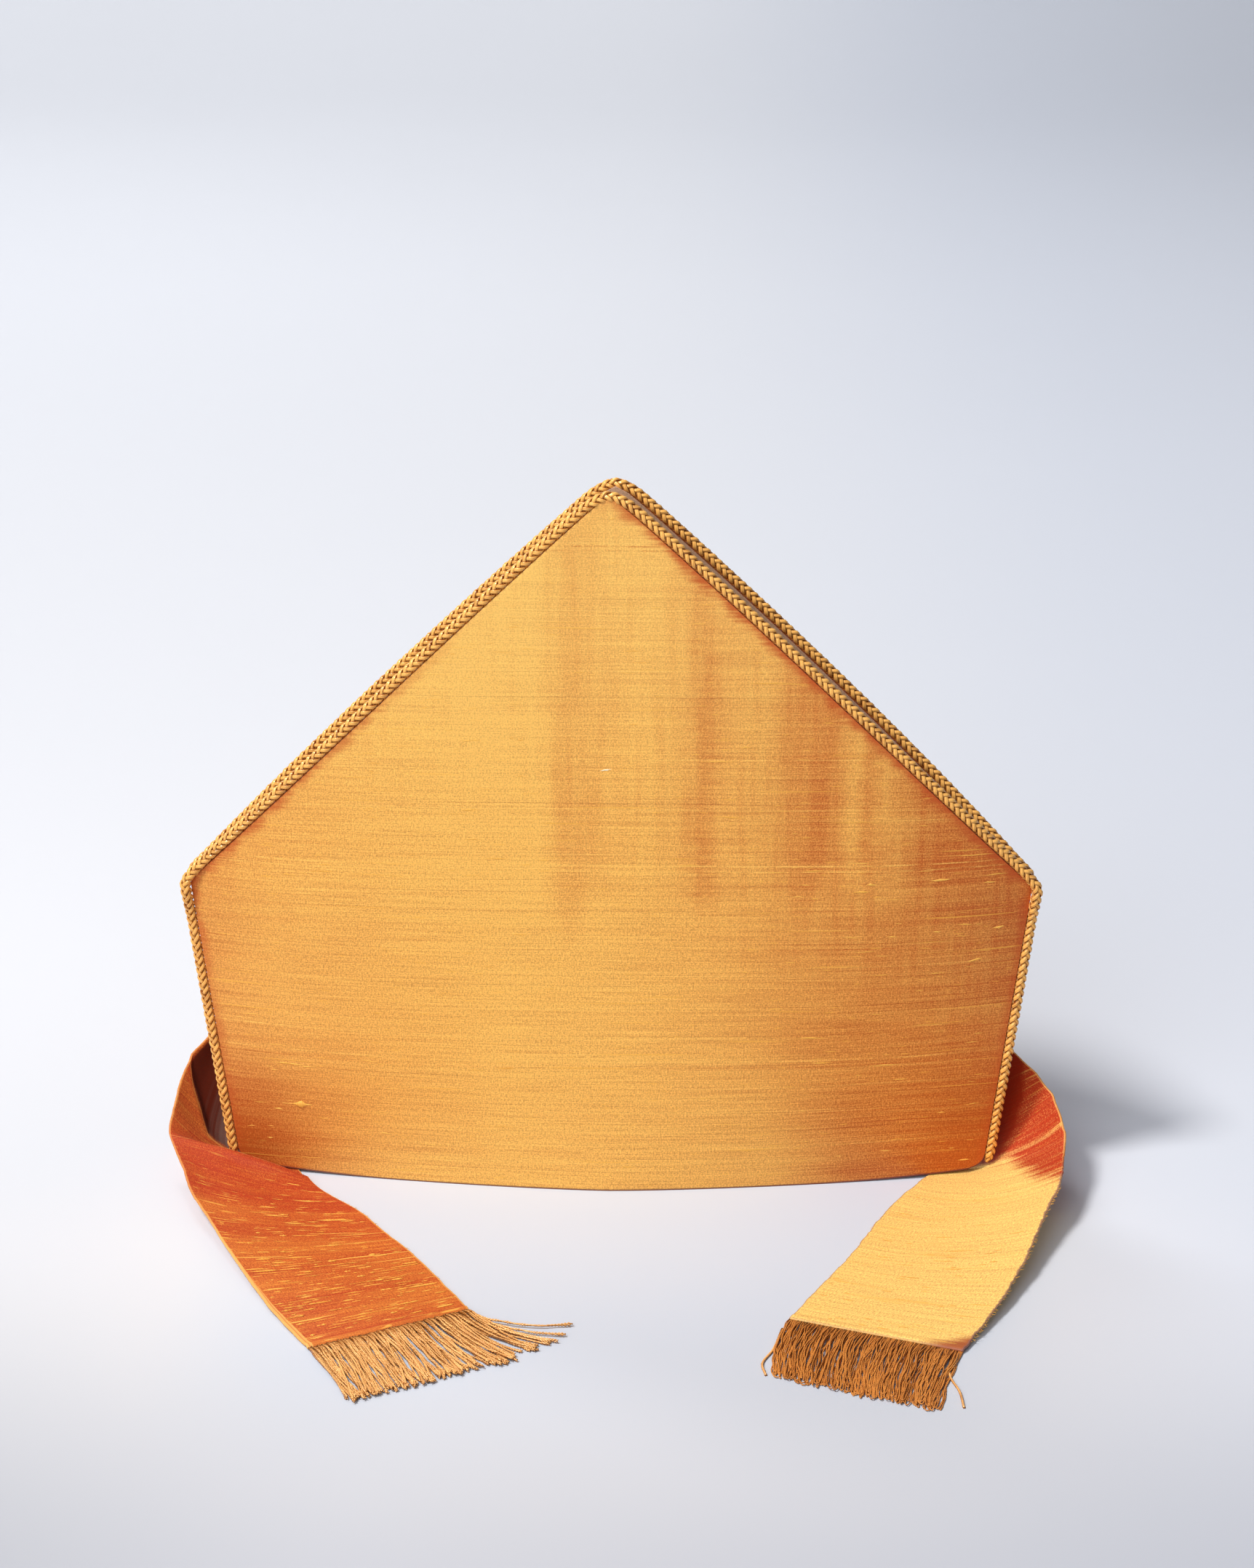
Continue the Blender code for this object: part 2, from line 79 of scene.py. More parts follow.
GAP = 0.3 * MM
BASE_HALF = 14.4 * CM
SHOULDER_HALF = 15.84 * CM
BASE_Z = 0.6 * CM
SHOULDER_Z = 12.0 * CM
APEX_Z = 27.25 * CM
PANEL_THICK = 3.0 * MM
SEAM_HALF = 1.3 * MM
BOW_BASE = 17.4 * MM
BOW_TOP = 9.0 * MM
BOW_POWER_BASE = 1.45
BOW_POWER_TOP = 4.0
SLOPE_BULGE_LEFT = 1.8 * MM
SLOPE_BULGE_RIGHT = 2.5 * MM
APEX_ROUND = 2.4 * MM
APEX_REACH = 7.2 * MM
SHOULDER_ROUND = 5.0 * MM
SHOULDER_DROP = 1.0 * MM
FLAT_HEM_HALF = 7.5 * CM
HEM_LIFT = 3.0 * MM
CORNER_ROUND = 7.5 * MM
CORNER_LIFT = 4.5 * MM
BACK_SHIFT_X = 1.9 * MM
SIDE_STEPS = 40
SLOPE_STEPS = 200
APEX_STEPS = 12

CORD_RADIUS = 2.15 * MM
CORD_FOOT_Z = 5.0 * MM
CORD_SPREAD = CORD_RADIUS - 0.15 * MM
CORD_PART_DROP = 14.0 * MM
CORD_PART_RISE = 11.0 * MM
BACK_CORD_START = 0.5 * MM
CORD_FOOT_TUCK = 0.6 * MM
CORD_APEX_DROP = 1.2 * MM
CORD_APEX_REACH = 9.0 * MM

GUSSET_THICK = 1.0 * MM
GUSSET_HALF = 14.1 * CM
GUSSET_FOLD_Z = 12.45 * CM
GUSSET_EDGE_RISE = 0.2 * MM
GUSSET_FOLD_RADIUS = 1.6 * MM
GUSSET_LEAST_RISE = 3.0 * MM
GUSSET_RISE_POWER = 1.5
GUSSET_SPREAD_POWER = 0.8

LAPPET_THICK = 1.0 * MM
LAPPET_WIDTH = 6.35 * CM
FLOOR_CLEAR = 0.02 * MM
HEM_TUCK = 2.0 * MM
HEM_TUCK_TOP = 4.5 * MM

# Each row is one station across a lappet, hem first and sewn end last, in centimetres:
# inner edge x, y, z; middle x, y, z; outer edge x, y, z. The sewn end is the right lappet's, and
# the left one's is its mirror image.
SEWN_END = (
    (8.40, 2.30, 0.16, 5.90, 2.50, 0.25, 3.50, 2.60, 0.40),
    (8.40, 1.55, 0.45, 5.90, 1.85, 0.45, 3.45, 2.05, 0.50),
    (8.40, 1.20, 1.50, 5.90, 1.50, 1.50, 3.45, 1.72, 1.50),
)
LEFT_STATIONS = (
    (-4.80, -11.52, 0.08, -7.55, -12.99, 0.08, -10.30, -14.46, 0.08),
    (-5.95, -9.40, 0.08, -9.00, -10.60, 0.10, -11.90, -11.80, 0.18),
    (-7.22, -7.20, 0.08, -10.35, -8.15, 0.12, -13.30, -9.10, 0.35),
    (-8.45, -5.40, 0.08, -11.65, -5.90, 0.15, -14.60, -6.40, 0.60),
    (-9.52, -3.80, 0.08, -12.80, -4.00, 0.20, -15.70, -4.20, 0.90),
    (-10.68, -2.60, 0.08, -13.60, -2.60, 0.35, -16.30, -2.50, 1.20),
    (-11.30, -1.85, 0.10, -14.00, -1.65, 0.75, -16.70, -1.50, 1.45),
    (-11.60, -1.45, 0.22, -14.30, -1.15, 1.10, -17.00, -0.85, 1.65),
    (-11.80, -1.15, 0.10, -14.40, -0.75, 0.55, -17.05, -0.60, 1.80),
    (-12.00, -0.60, 0.08, -14.60, -0.30, 0.24, -17.00, -0.30, 2.05),
    (-12.40, 0.50, 0.08, -14.80, 0.35, 0.35, -16.90, 0.10, 2.50),
    (-12.60, 1.80, 0.08, -14.75, 1.25, 1.05, -16.78, 0.75, 3.02),
    (-12.50, 3.10, 0.08, -14.40, 2.45, 1.90, -16.50, 1.70, 3.62),
    (-12.00, 4.50, 0.08, -13.55, 3.95, 2.60, -15.50, 3.05, 4.40),
    (-11.10, 5.80, 0.08, -12.20, 5.60, 3.00, -13.70, 5.10, 5.20),
    (-9.80, 6.70, 0.08, -10.20, 7.10, 3.10, -10.90, 7.30, 5.70),
    (-8.50, 6.60, 0.08, -8.00, 7.30, 3.00, -7.70, 7.70, 5.60),
    (-7.80, 5.50, 0.08, -6.50, 6.20, 2.60, -5.50, 6.60, 4.70),
    (-7.90, 4.20, 0.08, -5.90, 4.60, 1.70, -4.20, 4.90, 3.20),
    (-8.20, 3.10, 0.10, -5.90, 3.30, 0.75, -3.70, 3.50, 1.50),
) + tuple(tuple(number if k % 3 else -number for k, number in enumerate(row)) for row in SEWN_END)
RIGHT_STATIONS = (
    (6.64, -11.95, 0.08, 9.67, -13.08, 0.08, 12.70, -14.21, 0.10),
    (7.90, -9.40, 0.08, 11.00, -10.50, 0.12, 14.10, -11.60, 0.45),
    (9.10, -6.90, 0.08, 12.25, -7.75, 0.18, 15.40, -8.50, 0.85),
    (10.20, -4.20, 0.08, 13.25, -5.10, 0.25, 16.30, -5.90, 1.30),
    (11.10, -2.30, 0.08, 14.00, -3.40, 0.32, 16.90, -4.35, 1.60),
    (11.80, -1.20, 0.08, 14.45, -2.20, 0.40, 17.15, -3.20, 1.85),
    (12.30, -0.30, 0.08, 14.70, -1.10, 0.42, 17.30, -2.20, 2.10),
    (12.60, 0.80, 0.08, 14.80, 0.00, 0.38, 17.35, -1.10, 2.45),
    (12.70, 2.00, 0.08, 14.80, 1.00, 0.90, 17.10, 0.00, 3.00),
    (12.60, 3.20, 0.08, 14.45, 2.20, 1.75, 16.50, 1.05, 3.65),
    (12.10, 4.50, 0.08, 13.70, 3.65, 2.50, 15.60, 2.30, 4.10),
    (11.30, 5.70, 0.08, 12.50, 5.20, 2.90, 14.10, 4.30, 4.90),
    (10.20, 6.60, 0.08, 10.80, 6.70, 3.10, 11.80, 6.60, 5.60),
    (8.90, 6.80, 0.08, 8.80, 7.40, 3.10, 8.90, 7.80, 5.80),
    (7.90, 5.90, 0.08, 7.00, 6.70, 2.80, 6.40, 7.20, 5.20),
    (7.80, 4.50, 0.08, 6.00, 5.00, 1.90, 4.60, 5.50, 3.70),
    (8.10, 3.20, 0.10, 5.90, 3.50, 0.85, 3.80, 3.70, 1.70),
) + SEWN_END
# Where the strands of a fringe end on the floor: share along the hem from its inner end, and x, y
# in centimetres. Strays are single strands, and the right ones go by the points x, y.
LEFT_FRINGE_ENDS = (
    (0.00, -1.79, -13.70),
    (0.08, -2.44, -14.45),
    (0.18, -3.17, -15.12),
    (0.32, -4.55, -15.80),
    (0.50, -5.75, -16.55),
    (0.68, -6.90, -17.10),
    (0.84, -7.75, -17.60),
    (1.00, -8.55, -17.95),
)
LEFT_STRAY_ENDS = ((0.0, -1.11, -12.53), (0.03, -1.24, -13.27), (0.01, -1.60, -13.80),
                   (0.93, -8.30, -18.10))
RIGHT_FRINGE_ENDS = (
    (0.00, 6.00, -15.90),
    (0.25, 7.35, -16.45),
    (0.50, 8.93, -17.10),
    (0.75, 10.30, -17.60),
    (1.00, 11.65, -18.15),
)
RIGHT_STRAYS = (((6.40, -12.60), (6.05, -14.10), (5.66, -15.10), (5.77, -15.90)),
                ((12.30, -14.30), (12.15, -15.80), (12.42, -16.90), (12.50, -17.96)))

front_low, front_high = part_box("front_panel")
back_low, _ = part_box("back_panel")
MITRE = Vector(((front_low.x + front_high.x) / 2, (front_high.y + back_low.y) / 2, 0.0))


# --- the mitre's form -------------------------------------------------------------------------

def clamp(value, least, most):
    return max(least, min(most, value))


def smooth(value):
    value = clamp(value, 0.0, 1.0)
    return value * value * (3.0 - 2.0 * value)


def waver(x, y, z):
    """Smooth noise about nought, with one swing or so to each unit."""
    return noise.noise(Vector((x, y, z)))


def half_width(z):
    """Half of a panel's width at a height."""
    share = clamp((z - BASE_Z) / (SHOULDER_Z - BASE_Z), -0.1, 1.0)
    return BASE_HALF + (SHOULDER_HALF - BASE_HALF) * share


def outer_y(x, z):
    """Distance of a panel's outer face from the plane of the side seams."""
    bow = BOW_BASE + (BOW_TOP - BOW_BASE) * clamp(z / APEX_Z, 0.0, 1.0)
    power = BOW_POWER_BASE + (BOW_POWER_TOP - BOW_POWER_BASE) * clamp(z / SHOULDER_Z, 0.0, 1.0)
    u = min(abs(x) / half_width(z), 1.0)
    return SEAM_HALF + bow * (1.0 - u ** power)


def inner_y(x, z):
    return max(outer_y(x, z) - PANEL_THICK, GAP / 2)


def slope_z(x):
    """Height of the sloping upper edge over x."""
    soft = math.sqrt(x * x + APEX_ROUND ** 2) - APEX_ROUND
    full = math.sqrt(SHOULDER_HALF ** 2 + APEX_ROUND ** 2) - APEX_ROUND
    t = min(soft / full, 1.0)
    bulge = SLOPE_BULGE_LEFT if x < 0 else SLOPE_BULGE_RIGHT
    z = APEX_Z - (APEX_Z - SHOULDER_Z) * t + bulge * 4.0 * t * (1.0 - t)
    q = clamp((abs(x) - SHOULDER_HALF + SHOULDER_ROUND) / SHOULDER_ROUND, 0.0, 1.0)
    return z - SHOULDER_DROP * (1.0 - math.sqrt(1.0 - q * q))


def hem_z(x):
    """Height of the lower edge: flat in the middle, lifting to rounded corners."""
    s = clamp((abs(x) - FLAT_HEM_HALF) / (BASE_HALF - FLAT_HEM_HALF), 0.0, 1.0)
    q = clamp((abs(x) - BASE_HALF + CORNER_ROUND) / CORNER_ROUND, 0.0, 1.0)
    return HEM_LIFT * s * s + CORNER_LIFT * (1.0 - math.sqrt(1.0 - q * q))


def horn_shift(z, shift):
    return shift * clamp((z - SHOULDER_Z) / (APEX_Z - SHOULDER_Z), 0.0, 1.0)


# --- nodes for the finishes --------------------------------------------------------------------

class Net:
    """The nodes of one tree, placed and joined in short lines."""

    def __init__(self, tree):
        self.tree = tree

    def put(self, kind, **settings):
        node = self.tree.nodes.new("ShaderNode" + kind)
        for name, value in settings.items():
            setattr(node, name, value)
        return node

    def feed(self, socket, value):
        if isinstance(value, bpy.types.NodeSocket):
            self.tree.links.new(value, socket)
        else:
            socket.default_value = value

    def calc(self, kind, *values):
        node = self.put("Math", operation=kind)
        for socket, value in zip(node.inputs, values):
            self.feed(socket, value)
        return node.outputs[0]

    def product(self, first, *others):
        for value in others:
            first = self.calc("MULTIPLY", first, value)
        return first

    def clip(self, value):
        node = self.put("Clamp")
        self.feed(node.inputs["Value"], value)
        return node.outputs[0]

    def span(self, value, start, end, first=0.0, last=1.0):
        """A soft step from first to last as value goes from start to end."""
        node = self.put("MapRange", interpolation_type="SMOOTHSTEP")
        for socket, number in zip(node.inputs, (value, start, end, first, last)):
            self.feed(socket, number)
        return node.outputs[0]

    def stripe(self, value, place, half):
        """1 where value equals place, fading out at half to either side."""
        away = self.calc("ABSOLUTE", self.calc("SUBTRACT", value, place))
        return self.span(away, 0.2 * half, half, 1.0, 0.0)

    def split(self, vector):
        node = self.put("SeparateXYZ")
        self.feed(node.inputs[0], vector)
        return node.outputs[0], node.outputs[1]

    def join(self, x, y):
        node = self.put("CombineXYZ")
        self.feed(node.inputs[0], x)
        self.feed(node.inputs[1], y)
        return node.outputs[0]

    def cloud(self, vector, per_x, per_y, detail=2.0, seed=0.0):
        """Noise with that many features to the metre along x and y, centred on nought."""
        move = self.put("Mapping")
        self.feed(move.inputs["Vector"], vector)
        move.inputs["Scale"].default_value = (per_x, per_y, 1.0)
        move.inputs["Location"].default_value = (seed, seed * 1.7, seed * 0.6)
        node = self.put("TexNoise", noise_dimensions="2D")
        self.feed(node.inputs["Vector"], move.outputs[0])
        node.inputs["Scale"].default_value = 1.0
        node.inputs["Detail"].default_value = detail
        return self.calc("SUBTRACT", node.outputs["Fac"], 0.5)

    def add(self, start, *terms):
        """start plus the sum of value times weight."""
        total = start
        for value, weight in terms:
            total = self.calc("MULTIPLY_ADD", value, weight, total)
        return total

    def mix(self, share, a, b):
        node = self.put("Mix", data_type="RGBA")
        self.feed(node.inputs[0], share)
        self.feed(node.inputs[6], (*a, 1.0) if isinstance(a, tuple) else a)
        self.feed(node.inputs[7], (*b, 1.0) if isinstance(b, tuple) else b)
        return node.outputs[2]

    def times(self, colour, value):
        """The colour made brighter or darker by a factor."""
        node = self.put("Mix", data_type="RGBA", blend_type="MULTIPLY")
        node.inputs[0].default_value = 1.0
        self.feed(node.inputs[6], colour)
        self.feed(node.inputs[7], value)
        return node.outputs[2]

    def between(self, share, a, b):
        node = self.put("Mix", data_type="FLOAT")
        self.feed(node.inputs[0], share)
        self.feed(node.inputs[2], a)
        self.feed(node.inputs[3], b)
        return node.outputs[0]

    def ramp(self, value, stops, reach):
        """Grey by place: stops are (place in centimetres, grey), reach the largest place."""
        node = self.put("ValToRGB")
        elements = node.color_ramp.elements
        while len(elements) < len(stops):
            elements.new(0.5)
        for element, (place, grey) in zip(elements, stops):
            element.position = place / reach * 0.5 + 0.5
            element.color = (grey, grey, grey, 1.0)
        self.feed(node.inputs[0], value)
        return node.outputs[0]

    def group(self, tree, **values):
        node = self.put("Group")
        node.node_tree = tree
        for name, value in values.items():
            if isinstance(value, tuple):
                value = (*value, 1.0)
            self.feed(node.inputs[name], value)
        return node


def new_group(name, inputs, outputs):
    """A node group with named sockets, each given as name and kind."""
    tree = bpy.data.node_groups.new(name, "ShaderNodeTree")
    for label, kind in inputs:
        tree.interface.new_socket(label, in_out="INPUT", socket_type="NodeSocket" + kind)
    for label, kind in outputs:
        tree.interface.new_socket(label, in_out="OUTPUT", socket_type="NodeSocket" + kind)
    net = Net(tree)
    start = tree.nodes.new("NodeGroupInput")
    end = tree.nodes.new("NodeGroupOutput")
    return tree, net, start.outputs, end.inputs


def shot_silk_group():
    """Slubbed silk of two colours: yellow weft along x over a red warp along y."""
    tree, net, given, result = new_group(
        "shot_silk",
        [("Cloth", "Vector"), ("Tone", "Float"), ("Streaks", "Float"), ("Slubs", "Float"),
         ("Warp", "Color"), ("Weft", "Color"), ("Slub", "Color")],
        [("Color", "Color"), ("Height", "Float"), ("Roughness", "Float")])
    cloth = given["Cloth"]
    x, y = net.split(cloth)
    drift = net.cloud(cloth, 7.0, 9.0, 2.0, 3.1)
    wavy = net.join(x, net.add(y, (drift, 2.2 * MM)))
    thread = net.cloud(wavy, 26.0, 1700.0, 2.0, 1.3)
    band = net.cloud(wavy, 4.0, 300.0, 3.0, 7.7)
    warp = net.cloud(cloth, 2300.0, 500.0, 1.0, 5.2)
    grain = net.cloud(cloth, 1500.0, 2000.0, 2.0, 9.4)
    dash = net.cloud(wavy, 105.0, 1150.0, 1.0, 12.9)
    long_dash = net.cloud(wavy, 14.0, 900.0, 1.0, 21.5)
    line = net.cloud(wavy, 2.2, 900.0, 1.0, 40.3)
    pale_line = net.span(line, 0.21, 0.27)
    dark_line = net.span(line, -0.22, -0.28)
    streak = net.add(0.0, (thread, 0.85), (band, 0.40), (pale_line, 0.3), (dark_line, -0.3))
    speckle = net.add(0.0, (warp, 0.35), (grain, 0.72))
    tone = net.add(given["Tone"], (streak, given["Streaks"]), (speckle, 0.75))
    base = net.mix(net.clip(tone), given["Warp"], given["Weft"])
    base = net.times(base, net.add(1.0, (speckle, 0.9), (thread, 0.20), (dark_line, -0.09)))
    nubs = net.calc("MAXIMUM", net.span(dash, 0.23, 0.33), net.span(long_dash, 0.26, 0.31))
    shown = net.product(nubs, given["Slubs"])
    net.feed(result["Color"], net.mix(shown, base, given["Slub"]))
    net.feed(result["Height"], net.add(0.5, (thread, 0.9), (warp, 0.3), (grain, 0.4), (shown, 0.8),
                                       (pale_line, 0.5), (dark_line, -0.4)))
    net.feed(result["Roughness"], net.add(0.50, (streak, -0.10), (grain, -0.25)))
    return tree


def yarn_group():
    """Twisted silk yarn: x runs round it, y along it, and x's whole part tells yarns apart."""
    tree, net, given, result = new_group(
        "silk_yarn",
        [("Yarn", "Vector"), ("Share", "Float"), ("Crown", "Float"), ("Round", "Float"),
         ("Pitch", "Float"), ("Dark", "Color"), ("Light", "Color")],
        [("Color", "Color"), ("Height", "Float")])
    x, y = net.split(given["Yarn"])
    lines = net.add(0.0, (x, given["Round"]), (y, given["Pitch"]))
    wave = net.calc("SINE", net.product(lines, 2.0 * math.pi))
    own = net.put("TexWhiteNoise", noise_dimensions="1D")
    net.feed(own.inputs["W"], net.calc("FLOOR", x))
    patch = net.cloud(given["Yarn"], 1.0, 160.0, 2.0, 4.4)
    bunch = net.cloud(given["Yarn"], 0.07, 60.0, 2.0, 9.9)
    # Painted highlight on the top of each yarn and painted shade on its other side, as strong as
    # the highlight share given.
    crown_highlight = net.calc("SINE", net.product(x, 2.0 * math.pi))
    share = net.add(given["Share"], (wave, 0.22), (crown_highlight, given["Crown"]), (patch, 0.8),
                    (bunch, 0.8),
                    (net.calc("SUBTRACT", own.outputs["Value"], 0.5), 0.4))
    net.feed(result["Color"], net.mix(net.clip(share), given["Dark"], given["Light"]))
    net.feed(result["Height"], net.add(0.5, (wave, 0.5)))
    return tree


SILK = shot_silk_group()
YARN = yarn_group()

RUST = (0.53, 0.113, 0.017)
GOLD = (0.91, 0.495, 0.108)
BRIGHT_GOLD = (0.97, 0.64, 0.185)
SHINE = (1.0, 0.82, 0.52)
SILK_SHINE = (1.0, 0.92, 0.80)
SLUB_GOLD = (0.89, 0.45, 0.065)
SLUB_ORANGE = (0.90, 0.49, 0.090)
RIM_RED = (0.50, 0.075, 0.012)
# Painted shade of a panel's lower corners.
LOW_CORNER_SHADE = (0.36, 0.062, 0.004)
# A panel's dark hem line: its seam, and painted shade where it meets the floor.
HEM_DARK = (0.13, 0.040, 0.045)
LAPPET_RED = (0.46, 0.048, 0.014)
LAPPET_WEFT = (0.82, 0.32, 0.050)
# Painted highlight of the lappets' edges and folds; on the left one's crest also its wear.
EDGE_HIGHLIGHT_AND_WEAR = (0.89, 0.46, 0.12)
TURN_RED = (0.46, 0.042, 0.010)
# Painted shade where the lappets turn away behind the mitre: dark brown on the left, dark red on
# the right, and a grey painted sheen within the left one's shade.
PAINTED_SHADE_BROWN = (0.108, 0.013, 0.005)
PAINTED_TURN_SHADE = (0.35, 0.020, 0.002)
PAINTED_SHADE_SHEEN_GREY = (0.175, 0.095, 0.075)
EDGE_BROWN = (0.30, 0.13, 0.10)
CORNER_RED = (0.38, 0.085, 0.030)
TAUPE_DARK = (0.32, 0.185, 0.115)
TAUPE_LIGHT = (0.58, 0.355, 0.22)
# Painted shade where the strands start under the hem.
ROOT_SHADE = (0.06, 0.015, 0.004)
PAPER_LEFT = (0.85, 0.86, 0.90)
PAPER_RIGHT = (0.835, 0.865, 0.945)
PAPER_BY_HEM = (0.78, 0.85, 0.97)
PAPER_NEAR = (0.80, 0.84, 0.96)
BLACK = (0.0, 0.0, 0.0)

# Yarns, from their dark sides to their light crowns: painted shade and highlight, and random tone.
PLAIT_YARN = ((0.25, 0.048, 0.003), (0.96, 0.49, 0.120))
GOLD_YARN = ((0.78, 0.35, 0.042), (0.90, 0.50, 0.090))
ORANGE_YARN = ((0.80, 0.30, 0.036), (0.93, 0.50, 0.085))
WHITE_YARN = ((0.95, 0.80, 0.46), (1.0, 0.93, 0.72))
PALE_YARN = ((0.30, 0.085, 0.010), (1.0, 0.53, 0.185))
BRONZE_YARN = ((0.27, 0.065, 0.010), (0.74, 0.285, 0.058))

# Share of yellow weft seen across a panel at three heights, a painted sheen: place in centimetres,
# share. The upper row, with its streaks of painted reflection, is the front panel's alone.
UPPER_TONE = (
    (-15.0, 0.42), (-12.5, 0.68), (-9.0, 0.84), (-5.0, 0.98), (-2.7, 0.98), (-1.6, 0.66),
    (-0.4, 0.74), (1.2, 0.84), (2.6, 0.72), (3.4, 0.41), (4.1, 0.59), (5.6, 0.68),
    (6.7, 0.40), (7.9, 0.24), (9.1, 0.68), (9.7, 0.36), (10.3, 0.60), (11.6, 0.20), (15.0, 0.14),
)
MIDDLE_TONE = (
    (-15.5, 0.50), (-12.5, 0.76), (-9.0, 0.80), (-4.0, 0.95), (0.0, 0.88), (4.0, 0.72),
    (7.0, 0.50), (10.0, 0.37), (13.0, 0.28), (15.5, 0.16),
)
LOWER_TONE = (
    (-14.4, 0.0), (-13.2, 0.12), (-11.5, 0.38), (-8.5, 0.73), (-4.0, 0.85), (2.0, 0.78),
    (6.0, 0.70), (9.0, 0.27), (11.5, 0.12), (14.4, 0.0),
)

# Single threads that show right across a panel: height in centimetres, half of the thickness in
# millimetres, and how much yellower the cloth is there.
PANEL_LINES = ((13.24, 0.42, 0.55), (13.02, 0.35, 0.45), (17.40, 0.35, 0.35), (6.34, 0.35, 0.30),
               (5.35, 0.40, 0.35), (25.62, 0.30, 0.20), (25.49, 0.45, -0.42), (25.34, 0.35, -0.42),
               (9.9, 0.30, -0.25), (5.1, 0.25, -0.3))


def new_material(name):
    """A material, its net, and its Principled shader."""
    material = bpy.data.materials.new(name)
    material.use_nodes = True
    material.node_tree.nodes.clear()
    net = Net(material.node_tree)
    shader = net.put("BsdfPrincipled")
    output = net.put("OutputMaterial")
    net.feed(output.inputs["Surface"], shader.outputs[0])
    return material, net, shader


SHEEN_ROUGHNESS = 0.35


def gloss(shader, roughness, specular, sheen, tint):
    shader.inputs["Roughness"].default_value = roughness
    shader.inputs["Specular IOR Level"].default_value = specular
    shader.inputs["Specular Tint"].default_value = (*tint, 1.0)
    shader.inputs["Sheen Weight"].default_value = sheen
    shader.inputs["Sheen Roughness"].default_value = SHEEN_ROUGHNESS
    shader.inputs["Sheen Tint"].default_value = (*tint, 1.0)


def relief(net, shader, height, depth, strength):
    bump = net.put("Bump")
    bump.inputs["Strength"].default_value = strength
    bump.inputs["Distance"].default_value = depth
    net.feed(bump.inputs["Height"], height)
    net.feed(shader.inputs["Normal"], bump.outputs[0])


def cloth_place(net):
    return net.put("UVMap", uv_map="cloth").outputs[0]


def finish_silk(net, shader, cloth, tone, streaks, slubs, warp, weft, slub, stains=()):
    """The silk group's colour, gloss and relief on a shader; stains are (share, colour) on top."""
    silk = net.group(SILK, Cloth=cloth, Tone=tone, Streaks=streaks, Slubs=slubs, Warp=warp,
                     Weft=weft, Slub=slub)
    colour = silk.outputs["Color"]
    for share, tint in stains:
        colour = net.mix(share, colour, tint)
    net.feed(shader.inputs["Base Color"], colour)
    gloss(shader, roughness=0.46, specular=0.30, sheen=0.06, tint=SILK_SHINE)
    net.feed(shader.inputs["Roughness"], silk.outputs["Roughness"])
    relief(net, shader, silk.outputs["Height"], depth=0.12 * MM, strength=0.55)


